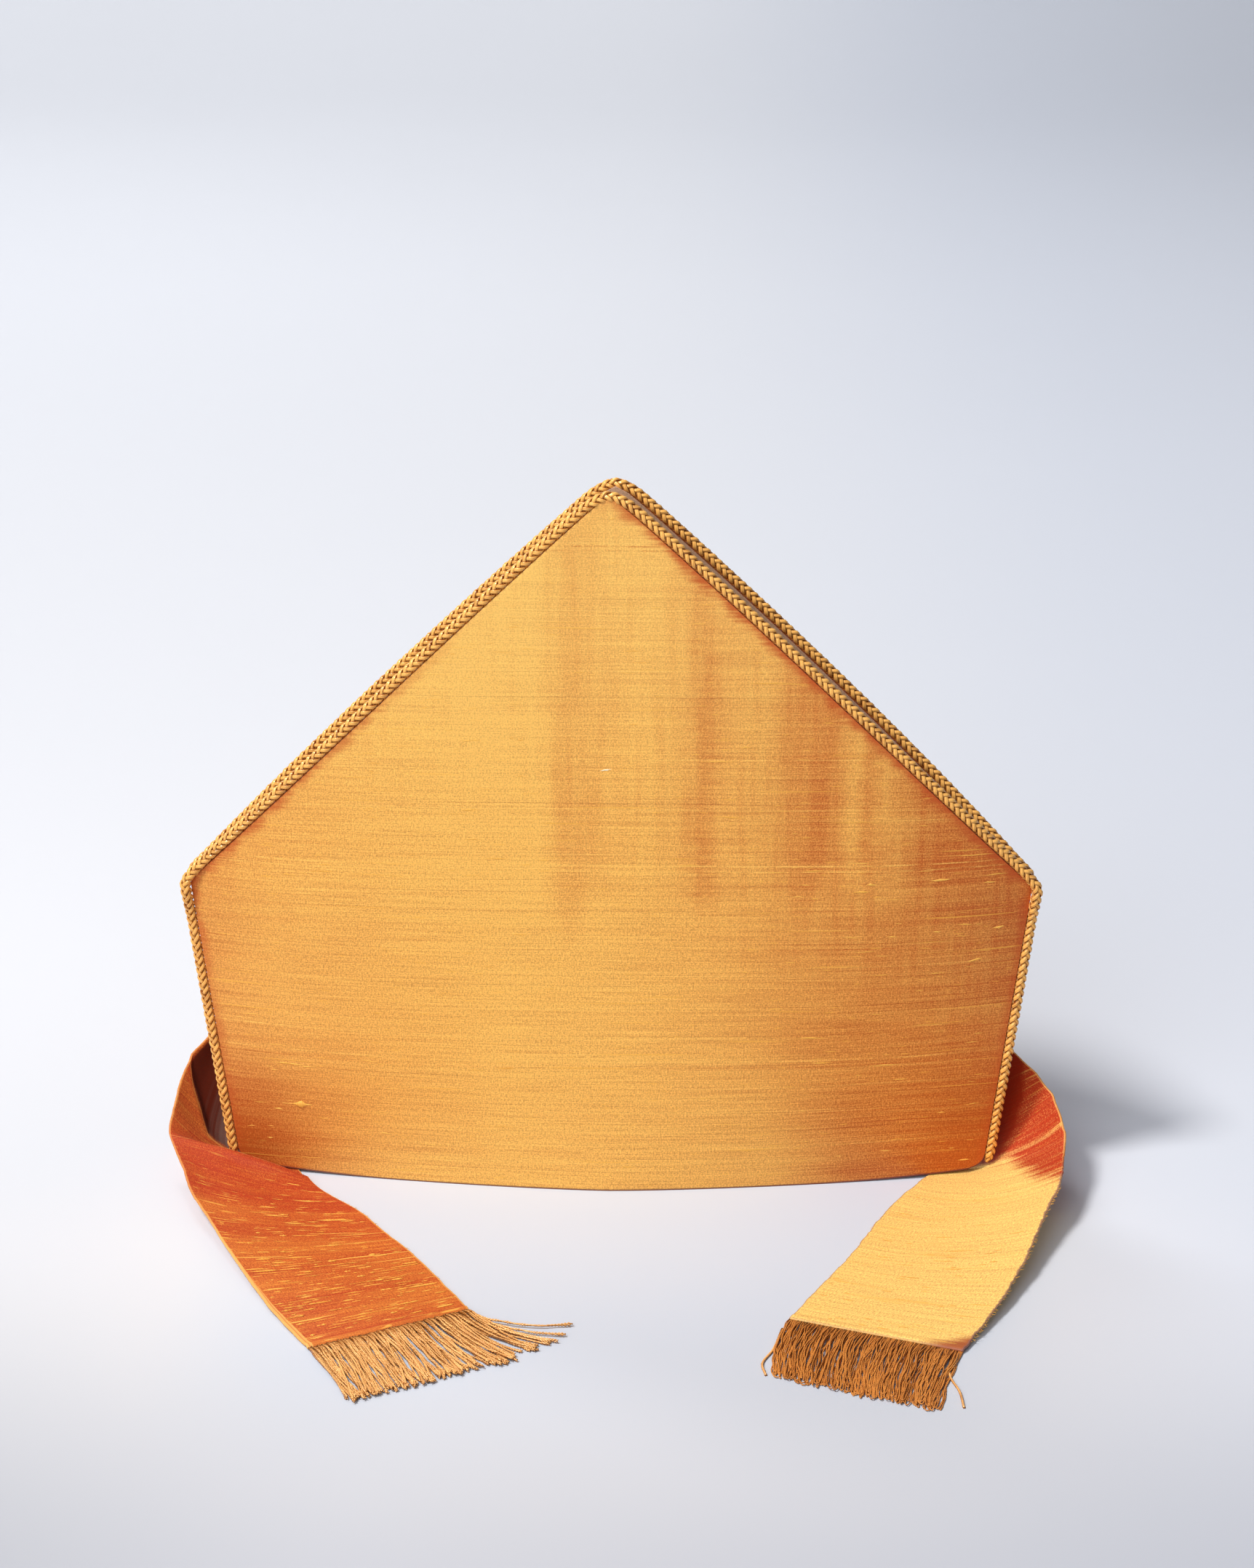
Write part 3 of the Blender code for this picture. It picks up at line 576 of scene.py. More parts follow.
def panel_silk(name, streaky):
    """Silk of a panel, its weft's sheen painted: yellow in the middle, rusty to the sides, a ragged
    red rim.
    """
    material, net, shader = new_material(name)
    cloth = cloth_place(net)
    x, z = net.split(cloth)
    edge, hem = net.split(net.put("UVMap", uv_map="edges").outputs[0])
    wobble = net.cloud(cloth, 55.0, 9.0, 3.0, 2.2)
    comb = net.cloud(cloth, 14.0, 620.0, 3.0, 17.0)
    moved = net.add(x, (wobble, 6.0 * MM), (comb, 8.0 * MM))
    share = net.add(0.5, (moved, 0.5 / SHOULDER_HALF))
    reach = SHOULDER_HALF / CM
    # Painted sheen of the weft: its share by place across the panel at three heights.
    lower = net.ramp(share, LOWER_TONE, reach)
    middle = net.ramp(share, MIDDLE_TONE, reach)
    upper = net.ramp(share, UPPER_TONE if streaky else MIDDLE_TONE, reach)
    tone = net.between(net.span(z, 1.0 * CM, 7.5 * CM), lower, middle)
    rise = net.add(z, (net.cloud(cloth, 70.0, 6.0, 2.0, 8.1), 7.0 * CM), (comb, 4.0 * CM))
    tone = net.between(net.span(rise, 10.5 * CM, 13.5 * CM), tone, upper)
    # Painted reflections: soft upright streaks of sheen, stronger up and to the right, and rusty
    # bars where the sheen fades, on the right and the far left.
    painted_streak_sheen = net.cloud(cloth, 260.0, 22.0, 3.0, 6.6)
    strength = net.span(net.add(z, (x, 0.5)), 9.0 * CM, 17.0 * CM, 0.04, 0.36)
    bars = net.cloud(cloth, 9.0, 70.0, 3.0, 33.0)
    barred = net.add(net.span(x, 3.0 * CM, 12.0 * CM, 0.05, 0.38),
                     (net.span(x, -9.0 * CM, -13.5 * CM), 0.28))
    tone = net.add(tone, (painted_streak_sheen, strength), (bars, barred))
    level = net.add(z, (net.cloud(cloth, 9.0, 1.0, 2.0, 50.0), 1.6 * MM))
    for place, half, weight in PANEL_LINES:
        broken = net.span(net.cloud(cloth, 110.0, 20.0, 2.0, place * 3.0), -0.12, 0.10, 0.20, 1.0)
        line = net.product(net.stripe(level, place * CM, half * MM), broken)
        tone = net.add(tone, (line, weight))
    # Painted sheen at the rim: a ragged red where the weft's sheen fades as the cloth turns over
    # the edges, strongest on the right and on the far left.
    left = net.span(x, -3.0 * CM, -12.0 * CM, 0.0, 0.75)
    strong = net.between(net.span(x, -1.0 * CM, 1.0 * CM), left, 0.85)
    strong = net.product(strong, net.span(z, SHOULDER_Z - 4.0 * CM, SHOULDER_Z, 0.6, 1.0))
    ragged = net.add(edge, (net.cloud(cloth, 90.0, 90.0, 3.0, 14.0), 6.0 * MM),
                     (net.cloud(cloth, 40.0, 1000.0, 2.0, 15.0), 5.0 * MM))
    rim = net.product(net.span(ragged, -0.5 * MM, 4.5 * MM, 1.0, 0.0), strong)
    # A dark line along the hem: partly its seam, partly painted shade where it meets the floor.
    seam = net.span(hem, 0.35 * MM, 0.9 * MM, 0.85, 0.0)
    # Painted light: paler gold towards the apex, following the weft's sheen.
    high = net.span(z, 13.0 * CM, 26.0 * CM, 0.0, 0.35)
    # Painted shade: darker brown in the lower corners, beside the lappets.
    low = net.span(net.add(z, (comb, 3.0 * CM)), 6.5 * CM, 2.0 * CM)
    low = net.product(low, net.span(net.calc("ABSOLUTE", moved), 10.8 * CM, 13.6 * CM, 0.0, 0.26))
    stains = [(net.product(high, net.clip(tone)), BRIGHT_GOLD), (low, LOW_CORNER_SHADE), (rim, RIM_RED),
              (seam, HEM_DARK)]
    finish_silk(net, shader, cloth, tone, streaks=0.55, slubs=0.60, warp=RUST, weft=GOLD,
                slub=SLUB_GOLD, stains=stains)
    return material


# The left lappet's turned hem, and how far from its hem the right one's painted fan highlight lies.
HEM_BAND = 3.0 * MM
HEM_RAISE = 0.60 * MM
FAN_WAY = 14.4 * CM
FAN_HALF = 1.6 * MM


def fold_place(net):
    """How far a lappet's point lies past its first and its second fold line, in metres."""
    return net.split(net.put("UVMap", uv_map="folds").outputs[0])


def left_lappet_silk(name):
    """Silk painted red, its weft's sheen faint but more towards the hem, painted shade past the
    crease.
    """
    material, net, shader = new_material(name)
    cloth = cloth_place(net)
    x, y = net.split(cloth)
    way = net.add(y, (net.cloud(cloth, 22.0, 90.0, 3.0, 4.2), 2.0 * CM))
    tone = net.span(way, 1.0 * CM, 13.0 * CM, 0.36, 0.14)
    patch = net.cloud(cloth, 10.0, 65.0, 2.0, 6.1)
    tone = net.add(tone, (patch, 0.85))
    slubs = net.span(way, 9.0 * CM, 14.0 * CM, 1.0, 0.25)
    past, crest = fold_place(net)
    # Painted shade past the crease, where the cloth turns away behind the mitre: dark brown, greyer
    # with lines of painted sheen towards the inner edge, and fading further on.
    ragged = net.add(past, (net.cloud(cloth, 120.0, 120.0, 2.0, 3.0), 1.2 * MM))
    behind = net.product(net.span(ragged, 0.0, 1.4 * MM),
                         net.span(x, LAPPET_WIDTH - 0.9 * MM, LAPPET_WIDTH - 2.6 * MM))
    behind = net.product(behind, net.span(past, 3.5 * CM, 5.5 * CM, 1.0, 0.15))
    low = net.span(x, 0.78 * LAPPET_WIDTH, 0.50 * LAPPET_WIDTH, -0.1, 0.85)
    painted_sheen_lines = net.cloud(cloth, 500.0, 12.0, 2.0, 8.8)
    shade = net.mix(net.clip(net.add(low, (painted_sheen_lines, 1.0))), PAINTED_SHADE_BROWN, PAINTED_SHADE_SHEEN_GREY)
    # Painted highlight: a thin pale line along the crease.
    painted_crease_glint = net.product(net.span(past, -0.7 * MM, -0.1 * MM),
                        net.span(past, 0.5 * MM, 0.1 * MM, 0.0, 0.42))
    # A pale line along the crest, partly wear of the pressed fold and partly painted highlight.
    wear_and_highlight = net.span(net.cloud(cloth, 400.0, 30.0, 2.0, 55.0), -0.12, 0.12, 0.1, 0.6)
    wear_and_highlight = net.product(net.stripe(crest, 0.0, 0.55 * MM), wear_and_highlight)
    hem = net.span(y, HEM_BAND, HEM_BAND - 0.5 * MM, 0.0, 0.24)
    # Painted shade: a darker red line just above the raised hem.
    hem_shade_line = net.product(net.span(y, HEM_BAND - 0.3 * MM, HEM_BAND + 0.1 * MM),
                           net.span(y, HEM_BAND + 0.9 * MM, HEM_BAND + 0.3 * MM, 0.0, 0.75))
    # Painted highlight: a pale stripe along the outer edge, wider towards the hem.
    wide = net.span(y, 0.0, 8.0 * CM, 2.2 * MM, 0.55 * MM)
    from_edge = net.calc("SUBTRACT", net.calc("SUBTRACT", LAPPET_WIDTH, x), wide)
    stripe = net.product(net.span(from_edge, 0.3 * MM, -0.1 * MM),
                         net.span(y, 7.0 * CM, 10.5 * CM, 0.8, 0.4))
    # A darker red line just inside the outer edge, towards the hem.
    red_edge_line = net.product(net.stripe(x, LAPPET_WIDTH - 1.1 * MM, 0.35 * MM),
                         net.span(y, 6.0 * CM, 3.0 * CM, 0.0, 0.55))
    # Painted highlight along the inner edge.
    inner = net.span(x, 1.0 * MM, 0.5 * MM, 0.0, 0.75)
    bits = net.span(net.cloud(cloth, 75.0, 620.0, 2.0, 71.0), 0.17, 0.25)
    bits = net.product(bits, net.add(0.0, (slubs, 0.75)))
    stains = [(bits, SLUB_ORANGE), (hem, LAPPET_WEFT), (hem_shade_line, LAPPET_RED),
              (stripe, EDGE_HIGHLIGHT_AND_WEAR), (red_edge_line, LAPPET_RED), (inner, EDGE_HIGHLIGHT_AND_WEAR),
              (wear_and_highlight, EDGE_HIGHLIGHT_AND_WEAR), (behind, shade), (painted_crease_glint, EDGE_HIGHLIGHT_AND_WEAR)]
    finish_silk(net, shader, cloth, tone, streaks=0.50, slubs=slubs, warp=LAPPET_RED,
                weft=LAPPET_WEFT, slub=SLUB_ORANGE, stains=stains)
    return material


def right_lappet_silk(name):
    """Silk painted yellow by its weft's sheen in front, red where it turns up, painted shade by the
    cord.
    """
    material, net, shader = new_material(name)
    cloth = cloth_place(net)
    x, y = net.split(cloth)
    glow, dark = fold_place(net)
    # Painted sheen: yellow weft in front, giving way to red where the lappet turns up past its glow
    # line, with the yellow fan and crease lines there as painted highlights.
    stir = net.cloud(cloth, 30.0, 120.0, 3.0, 4.2)
    strands = net.cloud(cloth, 25.0, 700.0, 2.0, 4.7)
    red = net.span(net.add(glow, (stir, 1.8 * CM), (strands, 2.2 * CM)), -0.7 * CM, 1.2 * CM)
    fan = net.add(y, (net.cloud(cloth, 30.0, 5.0, 2.0, 31.0), 6.0 * MM))
    fan = net.stripe(fan, FAN_WAY, FAN_HALF)
    crease_highlights = net.cloud(cloth, 14.0, 420.0, 2.0, 7.0)
    threads = net.span(net.cloud(cloth, 11.0, 300.0, 2.0, 27.0), 0.19, 0.27)
    turned = net.add(-0.91, (fan, 0.34), (crease_highlights, 0.25), (threads, 0.22))
    tone = net.add(0.90, (net.product(turned, red), 1.0))
    lines = net.cloud(cloth, 18.0, 520.0, 2.0, 61.0)
    faint = net.span(lines, -0.13, -0.24, 0.0, 0.5)
    # Painted shade: dark red beside the cord, where the turned-up part lies in the mitre's shade;
    # it fades further on.
    behind = net.span(net.add(dark, (stir, 0.6 * CM)), -0.25 * CM, 0.15 * CM, 0.0, 0.92)
    behind = net.product(behind, net.span(dark, 3.5 * CM, 5.5 * CM, 1.0, 0.15))
    frayed = net.add(x, (net.cloud(cloth, 20.0, 700.0, 2.0, 19.0), 1.2 * MM))
    outer = net.span(frayed, LAPPET_WIDTH - 0.75 * MM, LAPPET_WIDTH - 0.3 * MM)
    outer = net.product(outer, net.span(glow, -0.5 * CM, 1.5 * CM, 0.8, 0.0))
    # Painted highlight along the outer edge where the lappet turns up.
    turned_edge_highlight = net.span(x, LAPPET_WIDTH - 0.6 * MM, LAPPET_WIDTH - 0.25 * MM)
    turned_edge_highlight = net.product(turned_edge_highlight, net.span(glow, 0.5 * CM, 2.5 * CM, 0.0, 0.6))
    inner = net.span(x, 0.7 * MM, 0.35 * MM, 0.0, 0.6)
    hem = net.product(net.span(y, 0.85 * MM, 0.45 * MM), 0.35)
    from_corner = net.add(0.75 * LAPPET_WIDTH, (y, 1.0), (x, -0.75), (stir, 0.6 * CM))
    corner = net.span(net.add(from_corner, (strands, 0.8 * CM)), 1.35 * CM, 0.45 * CM, 0.0, 0.95)
    stains = [(faint, GOLD), (corner, CORNER_RED), (hem, EDGE_BROWN), (inner, EDGE_BROWN),
              (outer, EDGE_BROWN), (behind, PAINTED_TURN_SHADE), (turned_edge_highlight, EDGE_HIGHLIGHT_AND_WEAR)]
    finish_silk(net, shader, cloth, tone, streaks=0.42, slubs=0.35, warp=TURN_RED,
                weft=BRIGHT_GOLD, slub=SLUB_GOLD, stains=stains)
    return material


def plain_cloth(name):
    """Taupe lining cloth."""
    material, net, shader = new_material(name)
    cloth = cloth_place(net)
    tone = net.add(0.5, (net.cloud(cloth, 40.0, 60.0, 3.0, 2.0), 0.6))
    finish_silk(net, shader, cloth, tone, streaks=0.35, slubs=0.0, warp=TAUPE_DARK,
                weft=TAUPE_LIGHT, slub=TAUPE_LIGHT)
    return material


def yarn_material(name, colours, roughness, depth, round_lines=1.0, pitch=900.0, share=0.5,
                  crown_highlight=0.0, root=0.0):
    """Silk yarn: painted highlight on top, painted shade on its sides and, by root, where it
    starts.
    """
    material, net, shader = new_material(name)
    yarn_place = cloth_place(net)
    _, along = net.split(yarn_place)
    # Painted shade: the yarn darker by root near its start, under the hem.
    share = net.span(along, 2.5 * MM, 13.0 * MM, share - root, share)
    yarn = net.group(YARN, Yarn=yarn_place, Share=share, Crown=crown_highlight, Round=round_lines,
                     Pitch=pitch, Dark=colours[0], Light=colours[1])
    colour = yarn.outputs["Color"]
    # Painted shade: nearly black where the strand starts, in the hem's shade.
    if root:
        colour = net.mix(net.span(along, 4.6 * MM, 2.4 * MM, 0.0, 0.85), colour, ROOT_SHADE)
    net.feed(shader.inputs["Base Color"], colour)
    gloss(shader, roughness, specular=0.8, sheen=0.04, tint=SHINE)
    relief(net, shader, yarn.outputs["Height"], depth, strength=0.6)
    return material


# --- making pieces -----------------------------------------------------------------------------

def bend_grid(bm, columns, rows, place, cloth, **more):
    """A grid bent into shape. place and cloth take the shares across and along, from 0 to 1,
    and so does the function that fills each further UV layer."""
    made = bmesh.ops.create_grid(bm, x_segments=columns, y_segments=rows, size=1.0)["verts"]
    fresh = set(made)
    faces = {f for v in made for f in v.link_faces}
    for label, fill in {"cloth": cloth, **more}.items():
        layer = bm.loops.layers.uv[label]
        for face in faces:
            for loop in face.loops:
                if loop.vert in fresh:
                    co = loop.vert.co
                    loop[layer].uv = fill((co.x + 1.0) / 2, (co.y + 1.0) / 2)
    for v in made:
        v.co = place((v.co.x + 1.0) / 2, (v.co.y + 1.0) / 2)


def new_mesh(*more):
    """An empty mesh with the cloth's UV layer and more of them."""
    bm = bmesh.new()
    for label in ("cloth", *more):
        bm.loops.layers.uv.new(label)
    return bm


def close_tubes(bm):
    """Weld the tubes' long seams, fill their ends and turn the faces out."""
    bmesh.ops.remove_doubles(bm, verts=bm.verts[:], dist=0.002 * MM)
    open_edges = [e for e in bm.edges if len(e.link_faces) == 1]
    bmesh.ops.holes_fill(bm, edges=open_edges, sides=0)
    bmesh.ops.recalc_face_normals(bm, faces=bm.faces[:])


def add_object(name, bm, material):
    """A smooth-shaded object of a finished mesh."""
    mesh = bpy.data.meshes.new(name)
    bm.to_mesh(mesh)
    bm.free()
    mesh.polygons.foreach_set("use_smooth", [True] * len(mesh.polygons))
    mesh.materials.append(material)
    ob = bpy.data.objects.new(name, mesh)
    bpy.context.scene.collection.objects.link(ob)
    return ob


def finish_piece(name, bm, material, nodes=()):
    """Move a piece to the frame's place, dress it and let it ride."""
    bmesh.ops.translate(bm, verts=bm.verts[:], vec=MITRE)
    ob = add_object(name, bm, material)
    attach(ob, "root")
    if nodes:
        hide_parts(*nodes)
    return ob


def wall(ob, thickness, rounding, segments=3):
    """Give a sheet its thickness and a soft edge."""
    solid = ob.modifiers.new("thickness", "SOLIDIFY")
    solid.thickness = thickness
    solid.offset = 0.0
    solid.use_even_offset = True
    soft = ob.modifiers.new("soft_edge", "BEVEL")
    soft.width = rounding
    soft.segments = segments
    soft.limit_method = "ANGLE"
    soft.angle_limit = math.radians(60)


def heading(path, i):
    """The direction in which a path runs at its point i."""
    return (path[min(i + 1, len(path) - 1)] - path[max(i - 1, 0)]).normalized()


def tube_frames(path):
    """Each point's direction and the two directions across it, kept level with the floor."""
    frames = []
    for i in range(len(path)):
        ahead = heading(path, i)
        side = ahead.cross(UP)
        if side.length < 1e-3:
            side = Vector((1.0, 0.0, 0.0))
        side.normalize()
        frames.append((ahead, side, side.cross(ahead)))
    return frames


def add_tube(bm, path, radius, sides, number, frames=None, flat=1.0):
    """A round or flattened tube along a path. radius takes the share of the way along."""
    frames = frames or tube_frames(path)
    last = len(path) - 1
    length = sum((path[i + 1] - path[i]).length for i in range(last))

    def place(round_share, along_share):
        i = round(along_share * last)
        angle = 2.0 * math.pi * round_share
        wide = radius(i / last)
        _, side, up = frames[i]
        return path[i] + side * (math.cos(angle) * wide) + up * (math.sin(angle) * wide * flat)

    def cloth(round_share, along_share):
        return (number + round_share * 0.999, along_share * length)

    bend_grid(bm, sides, last, place, cloth)


# --- panels ------------------------------------------------------------------------------------

RIPPLE = 0.22 * MM


def ripple(x, z):
    """Shallow upright waves of the silk over its stiff base, in the upper right."""
    there = smooth((z - 9.0 * CM) / (6.0 * CM)) * smooth((x + 4.0 * CM) / (5.0 * CM))
    edge = smooth((slope_z(x) - z) / (2.0 * CM)) * smooth((SHOULDER_HALF - abs(x)) / (2.0 * CM))
    wave = waver(x * 42.0, z * 7.0, 3.7)
    return RIPPLE * 2.0 * there * edge * wave


def edge_distances(x, z):
    """Distance to the sloping or upright edge, and to the hem, of a panel's point."""
    nearby = 1.0 * MM
    steep = (slope_z(x + nearby) - slope_z(x - nearby)) / (2.0 * nearby)
    slope = (slope_z(x) - z) / math.hypot(1.0, steep)
    return min(slope, half_width(z) - abs(x)), z - hem_z(x)


def build_panel(side, shift, columns, rows, ripples):
    """A panel as a closed shell: its outer and inner faces, joined round a soft edge.

    side is FRONT or BACK, and shift moves the horn's point along x."""
    bm = new_mesh("edges")

    def point(across_share, up, face):
        across = math.sin((across_share * 2.0 - 1.0) * math.pi / 2)
        bottom = hem_z(across * BASE_HALF)
        top = slope_z(across * SHOULDER_HALF)
        z = bottom + (top - bottom) * up
        x = across * half_width(z)
        y = face(x, z)
        if ripples and face is outer_y:
            y += ripple(x, z)
        return Vector((x + horn_shift(z, shift), side * y, z))

    def cloth(across_share, up):
        spot = point(across_share, up, outer_y)
        return (spot.x, spot.z)

    def edges(across_share, up):
        spot = point(across_share, up, outer_y)
        return edge_distances(spot.x - horn_shift(spot.z, shift), spot.z)

    bend_grid(bm, columns, rows, lambda u, v: point(u, v, outer_y), cloth, edges=edges)
    bend_grid(bm, columns, rows, lambda u, v: point(u, v, inner_y), cloth, edges=edges)
    rim = [e for e in bm.edges if len(e.link_faces) == 1]
    bridged = bmesh.ops.bridge_loops(bm, edges=rim)
    layers = bm.loops.layers.uv
    for face in bridged["faces"]:
        for loop in face.loops:
            co = loop.vert.co
            loop[layers["cloth"]].uv = (co.x, co.z)
            loop[layers["edges"]].uv = edge_distances(co.x - horn_shift(co.z, shift), co.z)
    bmesh.ops.recalc_face_normals(bm, faces=bm.faces[:])
    bmesh.ops.bevel(bm, geom=rim, offset=0.45 * MM, offset_type="OFFSET", segments=3,
                    profile=0.5, affect="EDGES", material=-1, clamp_overlap=True)
    return bm


# Thick places in the weft of the front panel: x, z, length in centimetres, thickness in
# millimetres, tilt.
LARGE_SLUBS = (
    (-12.02, 3.00, 1.15, 2.90, 0.03), (-12.30, 4.72, 1.50, 0.80, 0.0),
    (-11.60, 4.66, 0.80, 0.50, 0.06), (9.75, 12.50, 0.45, 0.95, 0.0),
    (9.38, 12.22, 0.70, 0.90, 0.02), (13.73, 9.21, 0.60, 0.99, 0.25),
    (12.33, 12.59, 0.85, 0.85, 0.02), (14.20, 12.38, 0.55, 0.55, 0.05),
    (14.60, 10.50, 0.50, 0.95, 0.12), (13.30, 10.72, 0.65, 0.55, -0.05),
    (12.25, 10.50, 0.35, 0.60, 0.0), (4.0, 17.35, 1.60, 0.50, 0.0),
    (7.6, 6.3, 1.4, 0.6, 0.0), (-9.2, 5.1, 0.9, 0.5, 0.0), (-5.2, 15.4, 0.8, 0.6, 0.05),
)
WHITE_NICK = (-0.13, 17.00, 0.42, 0.60, 0.18)
SLUB_SIDES = 6
SLUB_STEPS = 12
LAPPET_SLUB_STEPS = 9
NUB_THICK = 1.0 * MM
PANEL_SLUB_FLAT = 0.36
LAPPET_SLUB_FLAT = 0.40


def panel_slub_line(x, z, length, tilt, seed):
    """The middle line of a slub on the front panel's face."""
    line = []
    for i in range(SLUB_STEPS + 1):
        t = i / SLUB_STEPS - 0.5
        px = x + t * length
        pz = z + t * length * tilt + waver(t * 3.0, seed, 2.0) * 0.25 * MM
        line.append(Vector((px, -outer_y(px, pz) - ripple(px, pz), pz)))
    return line


def upright_frames(line):
    """Frames for yarn that lies on an upright panel: across is up, out is towards the viewer."""
    frames = []
    for i in range(len(line)):
        ahead = heading(line, i)
        side = ahead.cross(TO_VIEWER).normalized()
        frames.append((ahead, side, side.cross(ahead)))
    return frames


def build_panel_slubs(count, seed, large):
    """The large slubs in their places and up to count small ones scattered over the front panel.

    A nub, thicker than the other slubs, swells towards one end."""
    rng = random.Random(seed)
    bm = new_mesh()
    places = [(x * CM, z * CM, length * CM, thick * MM, tilt)
              for x, z, length, thick, tilt in large]
    for _ in range(count):
        x = rng.uniform(-14.2, 14.6) * CM
        z = rng.uniform(0.4 * CM, slope_z(x) - 0.6 * CM)
        length = min(0.20 + rng.expovariate(1.0 / 0.35), 1.9) * CM
        thick = min(0.22 + rng.expovariate(1.0 / 0.10), 0.7) * MM
        if abs(x) + length / 2 > half_width(z) - 2.0 * MM or z < hem_z(x) + 2.0 * MM:
            continue
        places.append((x, z, length, thick, rng.gauss(0.0, 0.02)))
    for number, (x, z, length, thick, tilt) in enumerate(places):
        line = panel_slub_line(x, z, length, tilt, number * 1.3)

        def radius(share, thick=thick, number=number):
            lump = 1.0 + 0.7 * waver(share * 7.0, number * 2.1, 5.0)
            body = math.sin(math.pi * share) ** 1.6
            if thick > NUB_THICK:
                body = math.exp(-((share - 0.62) / 0.19) ** 2)
            return thick / 2 * (0.08 + 0.92 * body) * lump

        add_tube(bm, line, radius, SLUB_SIDES, number, upright_frames(line), flat=PANEL_SLUB_FLAT)
    close_tubes(bm)
    return bm


# --- cords -------------------------------------------------------------------------------------

def outline_points():
    """The panels' edge from the left foot over the apex to the right foot, in x and z."""
    bottom = hem_z(BASE_HALF)
    top = slope_z(SHOULDER_HALF)
    heights = [bottom + (top - bottom) * k / SIDE_STEPS for k in range(SIDE_STEPS + 1)]
    places = [-SHOULDER_HALF * math.cos(math.pi * k / SLOPE_STEPS) for k in range(1, SLOPE_STEPS)]
    places += [APEX_REACH * (k + 0.5) / APEX_STEPS for k in range(-APEX_STEPS, APEX_STEPS)]
    left = [(-half_width(z), z) for z in heights]
    right = [(half_width(z), z) for z in reversed(heights)]
    return left + [(x, slope_z(x)) for x in sorted(places)] + right


def cord_side(x, z, side):
    """How far a cord stands from the seam plane beside the panel edge at x, z."""
    parted = smooth((z - SHOULDER_Z + CORD_PART_DROP) / CORD_PART_RISE)
    middle = outer_y(x, z) - PANEL_THICK / 2
    return side * max(middle, CORD_RADIUS + GAP) * parted


def cord_path(side, whole, shift):
    """The middle line of a cord: down both side seams if whole, else over the slopes alone."""
    points = outline_points()
    path = []
    for i, (x, z) in enumerate(points):
        x0, z0 = points[max(i - 1, 0)]
        x1, z1 = points[min(i + 1, len(points) - 1)]
        length = math.hypot(x1 - x0, z1 - z0)
        px = x - (z1 - z0) / length * CORD_SPREAD
        pz = z + (x1 - x0) / length * CORD_SPREAD
        pz -= CORD_APEX_DROP * (1.0 - smooth(abs(x) / CORD_APEX_REACH))
        if whole or z >= SHOULDER_Z + BACK_CORD_START:
            path.append(Vector((px + horn_shift(z, shift), cord_side(x, z, side), pz)))
    if whole:
        foot_x = half_width(CORD_FOOT_Z) + CORD_SPREAD - CORD_FOOT_TUCK
        path.insert(0, Vector((-foot_x, 0.0, CORD_FOOT_Z)))
        path.append(Vector((foot_x, 0.0, CORD_FOOT_Z)))
    return path


def even_steps(path, step):
    """The path's points again, a step apart."""
    total = sum((b - a).length for a, b in zip(path, path[1:]))
    count = round(total / step)
    result = [path[0].copy()]
    gone = 0.0
    k = 1
    for a, b in zip(path, path[1:]):
        span = (b - a).length
        while k < count and gone + span >= total * k / count:
            result.append(a.lerp(b, (total * k / count - gone) / span))
            k += 1
        gone += span
    result.append(path[-1].copy())
    return result


def relaxed(path, rounds):
    """Corners drawn smooth, the ends kept."""
    for _ in range(rounds):
        path = [path[0]] + [(a + b * 2.0 + c) / 4.0 for a, b, c in zip(path, path[1:], path[2:])
                            ] + [path[-1]]
    return path


PLAIT_PITCH = 12.2 * MM
PLAIT_CORE = 1.17 * MM
PLAIT_WAVE = 0.48 * MM
PLAIT_WIDE = 0.81 * MM
PLAIT_THICK = 0.55 * MM
PLAIT_STEP = 0.70 * MM
PLAIT_SIDES = 8
PLAIT_END = 3.5 * MM


def build_plait(path, seed):
    """Eight flat strands, four wound each way, passing over two and under two."""
    rng = random.Random(seed)
    path = relaxed(even_steps(path, PLAIT_STEP), rounds=4)
    last = len(path) - 1
    step = sum((b - a).length for a, b in zip(path, path[1:])) / last
    bm = new_mesh()
    across = []
    for i in range(last + 1):
        ahead = heading(path, i)
        forward = (TO_VIEWER - ahead * TO_VIEWER.dot(ahead)).normalized()
        across.append((forward, ahead.cross(forward)))
    jitter = rng.uniform(0.0, 10.0)
    for way in (1, -1):
        for k in range(4):
            line = []
            outs = []
            for i in range(last + 1):
                s = i * step
                angle = way * 2.0 * math.pi * s / PLAIT_PITCH + k * math.pi / 2
                over = way * math.cos(2.0 * angle - math.pi / 4)
                close = smooth(min(s, last * step - s) / PLAIT_END)
                loose = waver(s * 90.0, k + way * 5.0, jitter) * 0.16 * MM
                radius = (PLAIT_CORE + PLAIT_WAVE * over + loose) * (0.45 + 0.55 * close)
                forward, sideways = across[i]
                out = forward * math.cos(angle) + sideways * math.sin(angle)
                line.append(path[i] + out * radius)
                outs.append((out, over, close))
            frames = []
            for i, (out, _, _) in enumerate(outs):
                ahead = heading(line, i)
                side = ahead.cross(out).normalized()
                frames.append((ahead, side, side.cross(ahead)))

            def strand_half(share, outs=outs):
                _, over, close = outs[round(share * last)]
                return PLAIT_WIDE * (1.0 + 0.10 * over) * (0.55 + 0.45 * close)

            add_tube(bm, line, strand_half, PLAIT_SIDES, k * 2 + (way > 0), frames,
                     flat=PLAIT_THICK / PLAIT_WIDE)
    close_tubes(bm)
    return bm


# --- gusset ------------------------------------------------------------------------------------

